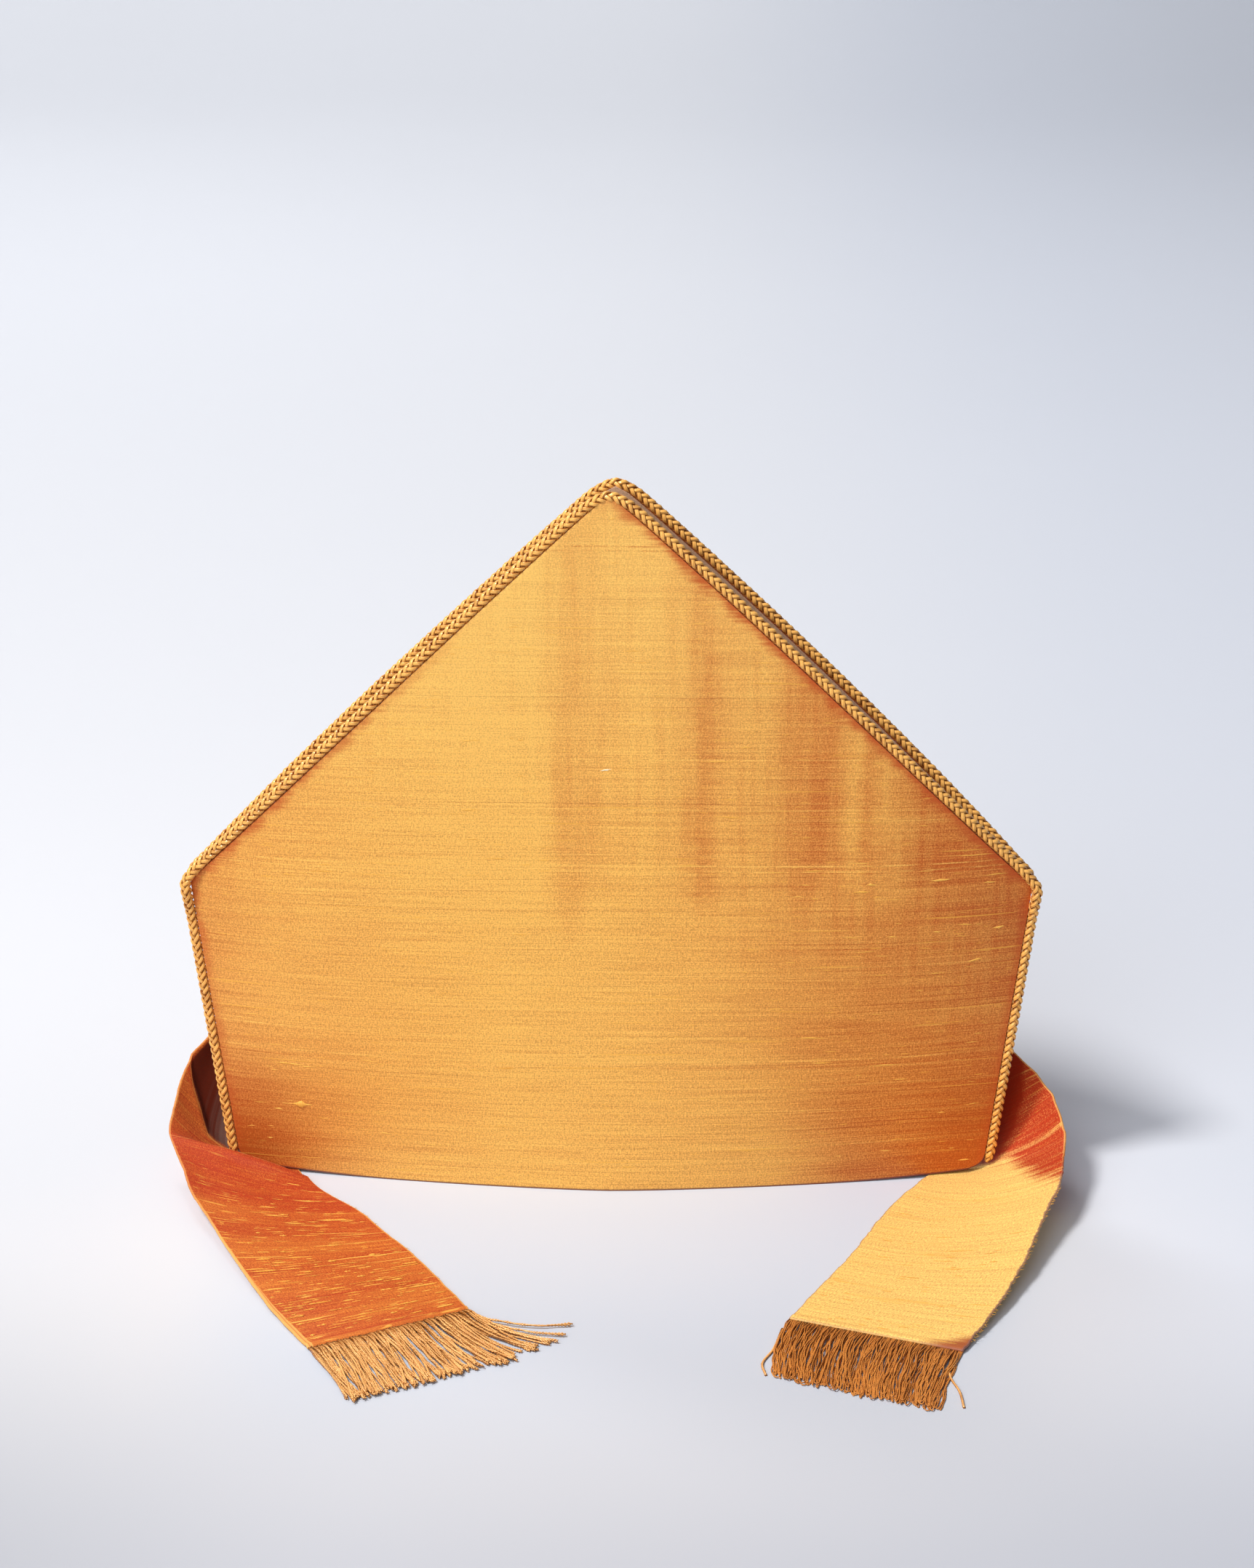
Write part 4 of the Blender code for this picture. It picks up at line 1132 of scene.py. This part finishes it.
def gusset_point(x, side, rise):
    """A point on the folded cloth: rise is 0 at the fold and 1 at a horn's sloping edge."""
    top = slope_z(x) + GUSSET_EDGE_RISE
    fold = min(GUSSET_FOLD_Z, top - GUSSET_LEAST_RISE)
    z = fold + (top - fold) * rise ** GUSSET_RISE_POWER
    face = inner_y(x, z) - GAP - GUSSET_THICK / 2
    spread = inner_y(x, top) * rise ** GUSSET_SPREAD_POWER
    turn = GUSSET_FOLD_RADIUS * min(rise * 6.0, 1.0)
    lean = 0.5 + 0.5 * smooth(rise * 6.0) * (side == BACK)
    return Vector((x + lean * horn_shift(z, BACK_SHIFT_X), side * min(face, spread + turn), z))


def build_gusset(columns, rows):
    bm = new_mesh()

    def place(across_share, v):
        x = math.sin((across_share - 0.5) * math.pi) * GUSSET_HALF
        return gusset_point(x, FRONT if v < 0.5 else BACK, abs(v * 2.0 - 1.0))

    def cloth(across_share, v):
        spot = place(across_share, v)
        return (spot.x, (v - 0.5) * 2.0 * (spot.z - GUSSET_FOLD_Z))

    bend_grid(bm, columns, rows, place, cloth)
    bmesh.ops.recalc_face_normals(bm, faces=bm.faces[:])
    return bm


# --- lappets -----------------------------------------------------------------------------------

def through(p0, p1, p2, p3, t):
    """A point on the smooth curve from p1 to p2, with knots spaced by distance."""
    k0 = 0.0
    k1 = k0 + max((p1 - p0).length, 1e-5) ** 0.5
    k2 = k1 + max((p2 - p1).length, 1e-5) ** 0.5
    k3 = k2 + max((p3 - p2).length, 1e-5) ** 0.5
    k = k1 + (k2 - k1) * t
    a1 = p0 * ((k1 - k) / (k1 - k0)) + p1 * ((k - k0) / (k1 - k0))
    a2 = p1 * ((k2 - k) / (k2 - k1)) + p2 * ((k - k1) / (k2 - k1))
    a3 = p2 * ((k3 - k) / (k3 - k2)) + p3 * ((k - k2) / (k3 - k2))
    b1 = a1 * ((k2 - k) / (k2 - k0)) + a2 * ((k - k0) / (k2 - k0))
    b2 = a2 * ((k3 - k) / (k3 - k1)) + a3 * ((k - k1) / (k3 - k1))
    return b1 * ((k2 - k) / (k2 - k1)) + b2 * ((k - k1) / (k2 - k1))


def clear_of_mitre(point):
    """Keep the cloth above the floor and outside the panels, or under their lifted corners."""
    lowest = LAPPET_THICK / 2 + FLOOR_CLEAR
    margin = LAPPET_THICK / 2 + 2 * GAP
    x = point.x
    y = point.y
    z = max(point.z, lowest)
    if abs(x) < half_width(z) and z + margin > hem_z(x) and abs(y) < outer_y(x, z) + margin:
        if z < min(hem_z(x) + HEM_TUCK, HEM_TUCK_TOP):
            z = max(hem_z(x) - margin, lowest)
        else:
            y = math.copysign(outer_y(x, z) + margin, y)
    return Vector((x, y, z))


def lappet_point(columns, row, t, v):
    """A point on a lappet: row and t run along it, v from the inner edge to the outer edge."""
    last = len(columns[0]) - 1
    spots = []
    for column in columns:
        p1 = column[row]
        p2 = column[row + 1]
        p0 = column[row - 1] if row else p1 * 2 - p2
        p3 = column[row + 2] if row + 2 <= last else p2 * 2 - p1
        spots.append(through(p0, p1, p2, p3, t))
    inner, middle, outer = spots
    return (inner * ((1 - v) * (1 - 2 * v)) + middle * (4 * v * (1 - v))
            + outer * (v * (2 * v - 1)))


LAPPET_STEP = 1.6 * MM
LAPPET_ACROSS = 44
CREASE_DEPTH = 3.0 * MM
CREASE_RIDGE = 0.5 * MM
# Puckers of the face: swings to the width and to the metre, shift of the noise, height.
PUCKERS = ((2.2, 55.0, 0.0, 0.40 * MM), (5.0, 140.0, 9.0, 0.16 * MM))
EDGE_WAVE = 0.45 * MM
# Fold lines of the lappets, and on the right one where its painted sheen ends and painted shade
# begins: share of the width from the inner edge, station row.
LEFT_CREASE = ((0.0, 9.8), (0.50, 10.0), (0.70, 10.15), (0.80, 10.85), (0.90, 11.35), (1.0, 12.05))
LEFT_CREST = ((0.0, 7.2), (0.3, 6.9), (1.0, 7.1))
RIGHT_GLOW = ((0.0, 8.5), (0.40, 7.5), (0.60, 6.7), (0.72, 5.6), (0.85, 4.7), (1.0, 4.3))
RIGHT_DARK = ((0.0, 7.0), (0.50, 7.1), (0.55, 7.3), (0.65, 7.75), (0.72, 8.25), (0.82, 8.7),
              (1.0, 9.7))
ROW_LENGTH = 1.15 * CM


def line_at(line, share):
    """The row at which a fold line crosses the lappet at that share of its width."""
    for (v0, row0), (v1, row1) in zip(line, line[1:]):
        if share <= v1:
            break
    return row0 + (row1 - row0) * clamp((share - v0) / (v1 - v0), 0.0, 1.0)


def lappet_stops(stations):
    """The stations' inner, middle and outer points, the places of the grid's rows between them, and
    how far each row is from the hem."""
    columns = [[Vector(row[k:k + 3]) * CM for row in stations] for k in (0, 3, 6)]
    stops = []
    lengths = [0.0]
    for row in range(len(stations) - 1):
        span = (columns[1][row + 1] - columns[1][row]).length
        steps = max(3, round(span / LAPPET_STEP))
        stops += [(row, k / steps) for k in range(steps)]
        lengths += [lengths[-1] + span * (k + 1) / steps for k in range(steps)]
    stops.append((len(stations) - 2, 1.0))
    return columns, stops, lengths


def build_lappet(stations, seed, folds, crease, fray):
    """A ribbon through its stations, gently puckered, with a turned hem at its fringed end, and its
    length. Its edges are frayed, and a crease lets the cloth past the first fold sink."""
    columns, stops, lengths = lappet_stops(stations)
    last = len(stops) - 1
    bm = new_mesh("folds")
    edge_waves = ((60.0, 2.0, EDGE_WAVE), (150.0, 4.0, fray * 1.8), (420.0, 3.0, fray))

    def past_folds(v, along):
        row, t = stops[round(along * last)]
        return tuple((row + t - line_at(line, v)) * ROW_LENGTH for line in folds)

    def place(v, along):
        k = round(along * last)
        row, t = stops[k]
        spot = lappet_point(columns, row, t, v)
        way = lengths[k]
        if crease:
            past = past_folds(v, along)[0]
            sunk = smooth(past / (2.5 * MM)) * smooth((v - 0.40) / 0.15)
            ridge = math.exp(-(past / (1.3 * MM)) ** 2) * smooth((v - 0.45) / 0.15)
            spot.x -= sunk * CREASE_DEPTH * 0.35
            spot.y += sunk * CREASE_DEPTH * smooth((1.0 - v) / 0.2)
            spot.y -= ridge * CREASE_RIDGE
        pucker = sum(waver(v * across, way * ahead, seed + shift) * height
                     for across, ahead, shift, height in PUCKERS)
        spot.z += abs(pucker) * smooth(way / (2.0 * CM))
        if way < HEM_BAND:
            spot.z += HEM_RAISE * math.sin(math.pi * way / HEM_BAND) ** 0.7
        edge_wave = sum(waver(way * ahead, seed * shift, v * 3.0) * height
                        for ahead, shift, height in edge_waves)
        spot.x += edge_wave * abs(2.0 * v - 1.0) ** 6
        return clear_of_mitre(spot)

    def cloth(v, along):
        return (v * LAPPET_WIDTH, lengths[round(along * last)])

    bend_grid(bm, LAPPET_ACROSS, last, place, cloth, folds=past_folds)
    return bm, lengths[-1]


def stop_at(lengths, way):
    """The number of the grid row nearest to that distance from the hem."""
    return min(range(len(lengths)), key=lambda k: abs(lengths[k] - way))


SLUB_RISE = 0.12 * MM
WHISKER_RADIUS = 0.11 * MM
WHISKER_LOWEST = 0.15 * MM
WHISKER_STEPS = 4


def build_lappet_yarns(stations, count, seed, thick_limit, whiskers):
    """Slubs in a lappet's weft, and frayed ends of weft along its edges.

    thick_limit is in millimetres. whiskers are (edge share, first way, last way, count, longest),
    the lengths in metres."""
    rng = random.Random(seed)
    columns, stops, lengths = lappet_stops(stations)
    bm = new_mesh()

    def surface(v, k, rise):
        row, t = stops[clamp(k, 0, len(stops) - 1)]
        spot = clear_of_mitre(lappet_point(columns, row, t, v))
        along_v = lappet_point(columns, row, t, min(v + 0.02, 1.0)) - lappet_point(
            columns, row, t, v - 0.02)
        next_row, next_t = stops[clamp(k + 2, 0, len(stops) - 1)]
        along_way = lappet_point(columns, next_row, next_t, v) - lappet_point(columns, row, t, v)
        up = along_v.cross(along_way)
        up = up.normalized() if up.length > 1e-9 else UP
        if up.z < 0:
            up = -up
        return spot + up * rise

    for number in range(count):
        way = rng.uniform(0.5, 13.5) * CM * (0.35 + 0.65 * rng.random())
        k = stop_at(lengths, way)
        length = min(0.15 + rng.expovariate(1.0 / 0.35), 2.2) * CM
        middle = rng.uniform(0.04, 0.96)
        half = length / LAPPET_WIDTH / 2
        first = max(middle - half, 0.02)
        final = min(middle + half, 0.98)
        thick = min(0.30 + rng.expovariate(1.0 / 0.27), thick_limit) * MM
        line = [surface(first + (final - first) * i / LAPPET_SLUB_STEPS, k,
                        LAPPET_THICK / 2 + SLUB_RISE) for i in range(LAPPET_SLUB_STEPS + 1)]

        def radius(share, thick=thick, number=number):
            lump = 1.0 + 1.0 * waver(share * 6.0, number * 2.1, 5.0)
            return thick / 2 * (0.12 + 0.88 * math.sin(math.pi * share) ** 0.8) * lump

        add_tube(bm, line, radius, SLUB_SIDES, number, flat=LAPPET_SLUB_FLAT)
    number = count
    for edge, start, stop, many, longest in whiskers:
        for _ in range(many):
            k = stop_at(lengths, rng.uniform(start, stop))
            reach = rng.uniform(0.25, 1.0) * longest
            base = surface(edge, k, 0.0)
            inside = surface(edge + (0.05 if edge < 0.5 else -0.05), k, 0.0)
            outward = (base - inside).normalized()
            lean = (surface(edge, k + 1, 0.0) - base).normalized() * rng.uniform(-0.8, 0.8)
            curl = rng.uniform(-0.5, 0.5)
            line = []
            for i in range(WHISKER_STEPS + 1):
                t = i / WHISKER_STEPS
                spot = base - outward * 0.5 * MM + (outward + lean * t) * (reach * t)
                spot += UP * (curl * reach * t * (1.0 - t))
                spot.z = max(spot.z, WHISKER_LOWEST)
                line.append(spot)
            add_tube(bm, line, lambda s: WHISKER_RADIUS * (1.0 - 0.5 * s), sides=4, number=number)
            number += 1
    close_tubes(bm)
    return bm


# --- fringes -----------------------------------------------------------------------------------

PLY = 0.29 * MM
LOOP_THIN = 0.24 * MM
STRAY_RADIUS = 0.48 * MM
STRAY_HEIGHT = 0.45 * MM
STRAY_STEPS = 8
STRAND_ROOT = 0.70 * MM
STRAND_CLEAR = 0.05 * MM
IN_HEM = 2.0 * MM
BUNCHING = 0.010
# How the strands lie: share of the hem left free at its ends, bunches and their phase, how far the
# ends stray along the hem, and their shortest and longest reach.
LEFT_LAY = {"margin": 0.01, "bunches": 9.0, "phase": 0.0, "spread": 0.032, "reach": (0.95, 1.04)}
RIGHT_LAY = {"margin": 0.012, "bunches": 11.0, "phase": 1.0, "spread": 0.010,
             "reach": (0.93, 1.03)}


def hem_frame(stations):
    """The hem's inner and outer ends on the floor, its direction, and the way out of it."""
    inner = Vector((stations[0][0], stations[0][1], 0.0)) * CM
    outer = Vector((stations[0][6], stations[0][7], 0.0)) * CM
    along = (outer - inner).normalized()
    away = Vector((along.y, -along.x, 0.0))
    return inner, outer, along, away * (-1.0 if away.y > 0 else 1.0)


def fringe_end(ends, share):
    """Where a strand that leaves the hem at that share of its width comes to rest."""
    for (s0, x0, y0), (s1, x1, y1) in zip(ends, ends[1:]):
        if share <= s1:
            t = clamp((share - s0) / (s1 - s0), 0.0, 1.0)
            break
    return Vector((x0 + (x1 - x0) * t, y0 + (y1 - y0) * t, 0.0)) * CM


def strand_line(start, away, end, height, steps, wave, seed):
    """A strand from inside the hem to its end on the floor, curving and waving as it goes."""
    inside = start - away * IN_HEM
    turn = start + away * (end - start).length * 0.45
    line = []
    for i in range(steps + 1):
        t = i / steps
        spot = inside * (1 - t) ** 2 + turn * (2 * t * (1 - t)) + end * t * t
        push = Vector((waver(t * 3.1, seed, 0.3), waver(t * 3.1, seed, 7.3), 0.0))
        fine = Vector((waver(t * 11.0, seed, 2.3), waver(t * 11.0, seed, 5.3), 0.0))
        spot += (push + fine * 0.25) * wave * smooth(t * 3.0)
        spot.z = height(t)
        line.append(spot)
    return line


def fringe_height(rest, layer, quick):
    """Heights along a strand: from the hem down on to the strands below it."""
    def height(t):
        lying = rest + layer * (1.0 - 0.6 * t)
        return STRAND_ROOT + (lying - STRAND_ROOT) * smooth(t * quick)

    return height


def add_twisted_strand(bm, line, twist, phase, number):
    """Two plies wound round each other, fluffed out at the cut end."""
    frames = tube_frames(line)
    last = len(line) - 1
    gone = 0.0
    plies = ([], [])
    for i, spot in enumerate(line):
        if i:
            gone += (spot - line[i - 1]).length
        _, side, up = frames[i]
        for p in (0, 1):
            angle = 2.0 * math.pi * gone / twist + phase + math.pi * p
            loose = PLY * (0.95 + 0.9 * smooth((i / last - 0.92) * 12.0))
            wound = spot + side * math.cos(angle) * loose + up * math.sin(angle) * loose
            wound.z = max(wound.z, 1.3 * PLY)
            plies[p].append(wound)
    for p in (0, 1):
        add_tube(bm, plies[p], lambda s: PLY * (1.08 + 0.35 * smooth((s - 0.90) * 14.0)
                                                - 0.75 * smooth((s - 0.97) * 33.0)),
                 sides=5, number=number + p)


def strand_ends(rng, stations, ends, count, margin, bunches, phase, spread, reach):
    """Where each strand of a fringe leaves the hem and where it comes to rest, a little bunched."""
    inner, outer, _, _ = hem_frame(stations)
    for k in range(count):
        share = (k + 0.5 + rng.uniform(-0.3, 0.3)) / count
        start = inner.lerp(outer, clamp(share, margin, 1.0 - margin))
        bunch = BUNCHING * math.sin(share * 2.0 * math.pi * bunches + phase)
        end = fringe_end(ends, clamp(share + bunch + rng.gauss(0.0, spread), 0.0, 1.0))
        yield k, start, start + (end - start) * rng.uniform(*reach)


def build_left_fringe(stations, ends, strays, count, seed):
    """Two-ply twisted strands swept to one side."""
    rng = random.Random(seed)
    inner, outer, _, away = hem_frame(stations)
    bm = new_mesh()
    lowest = 2.1 * PLY + STRAND_CLEAR
    for k, start, end in strand_ends(rng, stations, ends, count, **LEFT_LAY):
        layer = rng.choice((0.0, 0.6, 1.2, 1.8)) * MM
        height = fringe_height(lowest, layer, quick=6.0)
        line = strand_line(start, away, end, height, steps=40, wave=1.0 * MM, seed=seed + k * 1.37)
        twist = rng.uniform(1.9, 2.4) * MM
        add_twisted_strand(bm, line, twist, rng.uniform(0.0, 6.28), k * 2)
    for k, (share, x, y) in enumerate(strays):
        start = inner.lerp(outer, clamp(share, LEFT_LAY["margin"], 1.0 - LEFT_LAY["margin"]))
        end = Vector((x, y, 0.0)) * CM
        height = fringe_height(lowest, layer=1.2 * MM, quick=6.0)
        line = strand_line(start, away, end, height, steps=48, wave=1.2 * MM, seed=seed + k * 5.7)
        add_twisted_strand(bm, line, 2.2 * MM, k * 1.9, (count + k) * 2)
    close_tubes(bm)
    return bm


def build_right_fringe(stations, ends, count, seed):
    """Fine soft strands, each running out and looping back."""
    rng = random.Random(seed)
    _, _, along, away = hem_frame(stations)
    bm = new_mesh()
    for k, start, end in strand_ends(rng, stations, ends, count, **RIGHT_LAY):
        layer = rng.choice((0.0, 0.5, 1.0, 1.5, 2.0)) * MM
        height = fringe_height(LOOP_THIN + STRAND_CLEAR, layer, quick=4.0)
        width = rng.uniform(0.6, 1.3) * MM
        legs = []
        for leg in (-0.5, 0.5):
            beside = along * width * leg
            legs.append(strand_line(start + beside, away, end + beside, height, steps=30,
                                    wave=2.0 * MM, seed=seed + k * 0.83 + leg * 0.45))
        out, back = legs
        bow = (out[-1] - out[-2]).normalized() * width * 0.55
        tip = (out[-1] + back[-1]) / 2 + bow
        loop = out + [(out[-1] + tip) / 2 + bow * 0.25, tip, (back[-1] + tip) / 2 + bow * 0.25]
        loop += list(reversed(back))
        add_tube(bm, relaxed(loop, rounds=1), lambda s: LOOP_THIN, sides=5, number=k)
    close_tubes(bm)
    return bm


def build_strays(strays):
    """Single thick strands on the floor, smooth through their points."""
    bm = new_mesh()
    for k, knots in enumerate(strays):
        points = [Vector((x, y, 0.0)) * CM for x, y in knots]
        points = [points[0] * 2 - points[1]] + points + [points[-1] * 2 - points[-2]]
        line = []
        for a, b, c, d in zip(points, points[1:], points[2:], points[3:]):
            line += [through(a, b, c, d, i / STRAY_STEPS) for i in range(STRAY_STEPS)]
        line.append(points[-2])
        for spot in line:
            spot.z = STRAY_HEIGHT
        add_tube(bm, line, lambda s: STRAY_RADIUS, sides=6, number=k)
    close_tubes(bm)
    return bm


# --- the pieces --------------------------------------------------------------------------------

front_silk = panel_silk("front_shot_silk", streaky=True)
back_silk = panel_silk("back_shot_silk", streaky=False)
lining = plain_cloth("taupe_lining")
plait = yarn_material("gold_plait", PLAIT_YARN, roughness=0.23, depth=0.11 * MM, round_lines=6.0,
                      pitch=0.0, share=0.06, crown_highlight=1.05)
left_silk = left_lappet_silk("left_shot_silk")
right_silk = right_lappet_silk("right_shot_silk")
gold_slubs = yarn_material("gold_slubs", GOLD_YARN, roughness=0.6, depth=0.10 * MM)
orange_slubs = yarn_material("orange_slubs", ORANGE_YARN, roughness=0.6, depth=0.10 * MM)
white_slub = yarn_material("white_slub", WHITE_YARN, roughness=0.4, depth=0.05 * MM)
pale_strands = yarn_material("pale_gold_strands", PALE_YARN, roughness=0.21, depth=0.05 * MM,
                             round_lines=0.0, pitch=0.0, share=0.03, crown_highlight=0.86, root=0.45)
bronze_strands = yarn_material("bronze_strands", BRONZE_YARN, roughness=0.42, depth=0.05 * MM,
                               share=0.46, crown_highlight=0.30, root=0.25)

front_mesh = build_panel(FRONT, shift=0.0, columns=150, rows=110, ripples=True)
finish_piece("front_silk_panel", front_mesh, front_silk, ["front_panel"])
slub_mesh = build_panel_slubs(count=230, seed=31, large=LARGE_SLUBS)
finish_piece("front_slubs", slub_mesh, gold_slubs)
nick_mesh = build_panel_slubs(count=0, seed=3, large=[WHITE_NICK])
finish_piece("front_white_nick", nick_mesh, white_slub)
back_mesh = build_panel(BACK, shift=BACK_SHIFT_X, columns=110, rows=80, ripples=False)
finish_piece("back_silk_panel", back_mesh, back_silk, ["back_panel"])
gusset_mesh = build_gusset(columns=96, rows=48)
GUSSET_AREA = sum(face.calc_area() for face in gusset_mesh.faces)
gusset = finish_piece("lining_gusset", gusset_mesh, lining, ["gusset"])
wall(gusset, GUSSET_THICK * 0.8, rounding=0.2 * MM, segments=2)
front_cord_mesh = build_plait(cord_path(FRONT, whole=True, shift=0.0), seed=5)
finish_piece("front_plaited_cord", front_cord_mesh, plait, ["front_cord"])
back_cord_mesh = build_plait(cord_path(BACK, whole=False, shift=BACK_SHIFT_X), seed=8)
finish_piece("back_plaited_cord", back_cord_mesh, plait, ["back_cord"])

left_mesh, LEFT_LENGTH = build_lappet(LEFT_STATIONS, seed=2.0, folds=(LEFT_CREASE, LEFT_CREST),
                                      crease=True, fray=0.12 * MM)
left_lappet = finish_piece("left_silk_lappet", left_mesh, left_silk, ["left_lappet"])
wall(left_lappet, LAPPET_THICK, rounding=0.40 * MM)
right_mesh, RIGHT_LENGTH = build_lappet(RIGHT_STATIONS, seed=6.0, folds=(RIGHT_GLOW, RIGHT_DARK),
                                        crease=False, fray=0.35 * MM)
right_lappet = finish_piece("right_silk_lappet", right_mesh, right_silk,
                            ["right_lappet"])
wall(right_lappet, LAPPET_THICK, rounding=0.40 * MM)
twisted_mesh = build_left_fringe(LEFT_STATIONS, LEFT_FRINGE_ENDS, LEFT_STRAY_ENDS, count=146,
                                 seed=11)
left_fringe = finish_piece("left_twisted_fringe", twisted_mesh, pale_strands,
                           ["left_fringe"])
looped_mesh = build_right_fringe(RIGHT_STATIONS, RIGHT_FRINGE_ENDS, count=156, seed=23)
right_fringe = finish_piece("right_looped_fringe", looped_mesh, bronze_strands,
                            ["right_fringe"])
right_strays = finish_piece("right_pale_strays", build_strays(RIGHT_STRAYS), pale_strands)
# Frayed ends: edge share, first and last way from the hem, count, longest.
LEFT_FRAY = ((0.0, 3.0 * CM, 14.0 * CM, 46, 1.6 * MM), (1.0, 1.0 * CM, 12.0 * CM, 14, 0.9 * MM))
RIGHT_FRAY = ((1.0, 0.5 * CM, 10.5 * CM, 90, 1.9 * MM), (0.0, 1.0 * CM, 12.0 * CM, 30, 1.2 * MM))
left_weft = build_lappet_yarns(LEFT_STATIONS, count=260, seed=41, thick_limit=1.30,
                               whiskers=LEFT_FRAY)
left_yarns = finish_piece("left_lappet_slubs", left_weft, orange_slubs)
right_weft = build_lappet_yarns(RIGHT_STATIONS, count=60, seed=47, thick_limit=0.40,
                                whiskers=RIGHT_FRAY)
right_yarns = finish_piece("right_lappet_slubs", right_weft, gold_slubs)

# --- floor and light ---------------------------------------------------------------------------

# In metres.
FLOOR_NEAR = -2.6
FLOOR_FAR = 2.4
FLOOR_SIDE = 3.2
SWEEP_RADIUS = 1.6
SWEEP_HEIGHT = 1.8


def build_floor():
    """A sheet of pale paper that lies flat and sweeps up far behind."""
    bm = new_mesh()
    flat = FLOOR_FAR - FLOOR_NEAR
    arc = SWEEP_RADIUS * math.pi / 2
    total = flat + arc + SWEEP_HEIGHT

    def place(u, v):
        s = v * total
        x = (u * 2.0 - 1.0) * FLOOR_SIDE
        if s <= flat:
            return Vector((x, FLOOR_NEAR + s, 0.0))
        if s <= flat + arc:
            angle = (s - flat) / SWEEP_RADIUS
            return Vector((x, FLOOR_FAR + SWEEP_RADIUS * math.sin(angle),
                           SWEEP_RADIUS * (1.0 - math.cos(angle))))
        return Vector((x, FLOOR_FAR + SWEEP_RADIUS, SWEEP_RADIUS + s - flat - arc))

    bend_grid(bm, 4, 90, place, lambda u, v: (u, v))
    return bm


def paper_material():
    """Pale paper with painted falloff of light: a little darker near the camera, to the right and
    far behind.
    """
    material, net, shader = new_material("pale_paper")
    place = net.put("TexCoord").outputs["Object"]
    mottle = net.cloud(place, 2.0, 2.0, 3.0, 1.0)
    x, y = net.split(place)
    near = net.span(y, 0.0, -0.28, 0.0, 0.27)
    left = net.product(net.span(x, -0.06, -0.24), net.span(y, 0.3, -0.15, 0.0, 0.10))
    right = net.span(x, -0.05, 0.35, 0.0, 0.05)
    far = net.product(net.span(y, 0.4, 2.6), net.span(x, -1.0, 0.9, 0.0, 0.185))
    top = net.product(net.span(y, 1.4, 2.7), net.span(x, 0.2, -0.7, 0.045, 0.13))
    # Painted shade: darker and bluer on the floor along the mitre's hem.
    hem_side = net.product(net.stripe(y, -0.03, 0.17),
                           net.span(net.calc("ABSOLUTE", x), 0.17, 0.09))
    dim = net.add(0.125, (near, 1.0), (left, 1.0), (right, 1.0), (far, 1.0), (top, 1.0),
                  (hem_side, 0.06), (mottle, 0.02))
    # Painted tint of the light: bluer to the right, by the hem and near the camera.
    paper = net.mix(net.span(x, -0.05, 0.35), PAPER_LEFT, PAPER_RIGHT)
    paper = net.mix(hem_side, paper, PAPER_BY_HEM)
    paper = net.mix(net.span(y, -0.05, -0.30, 0.0, 0.5), paper, PAPER_NEAR)
    net.feed(shader.inputs["Base Color"], net.mix(dim, paper, BLACK))
    shader.inputs["Roughness"].default_value = 0.75
    shader.inputs["Specular IOR Level"].default_value = 0.15
    return material


floor = add_object("paper_floor", build_floor(), paper_material())

# Name, place and aim in metres, size in metres, power in watts, spread in degrees, colour.
LIGHTS = (
    ("key_light", (-1.02, -0.66, 2.05), (0.0, 0.05, 0.0), 0.48, 46.0, 180, (1.0, 0.98, 0.96)),
    ("front_light", (-1.05, -2.4, 1.85), (0.0, 0.0, 0.1), 2.4, 50.0, 180, (0.97, 0.98, 1.0)),
    ("backdrop_light", (-1.0, 1.9, 2.5), (0.25, 3.2, 0.4), 1.5, 52.0, 160, (0.95, 0.97, 1.0)),
)
WORLD_COLOUR = (0.90, 0.93, 1.0, 1.0)
WORLD_STRENGTH = 0.155

for name, place, aim, size, power, spread, colour in LIGHTS:
    light = bpy.data.lights.new(name, "AREA")
    light.shape = "DISK"
    light.size = size
    light.energy = power
    light.spread = math.radians(spread)
    light.color = colour
    lamp = bpy.data.objects.new(name, light)
    lamp.location = place
    lamp.rotation_euler = (Vector(aim) - Vector(place)).to_track_quat("-Z", "Y").to_euler()
    bpy.context.scene.collection.objects.link(lamp)

world = bpy.data.worlds.new("studio")
world.use_nodes = True
background = world.node_tree.nodes["Background"]
background.inputs["Color"].default_value = WORLD_COLOUR
background.inputs["Strength"].default_value = WORLD_STRENGTH
bpy.context.scene.world = world
bpy.context.scene.view_settings.view_transform = "Standard"
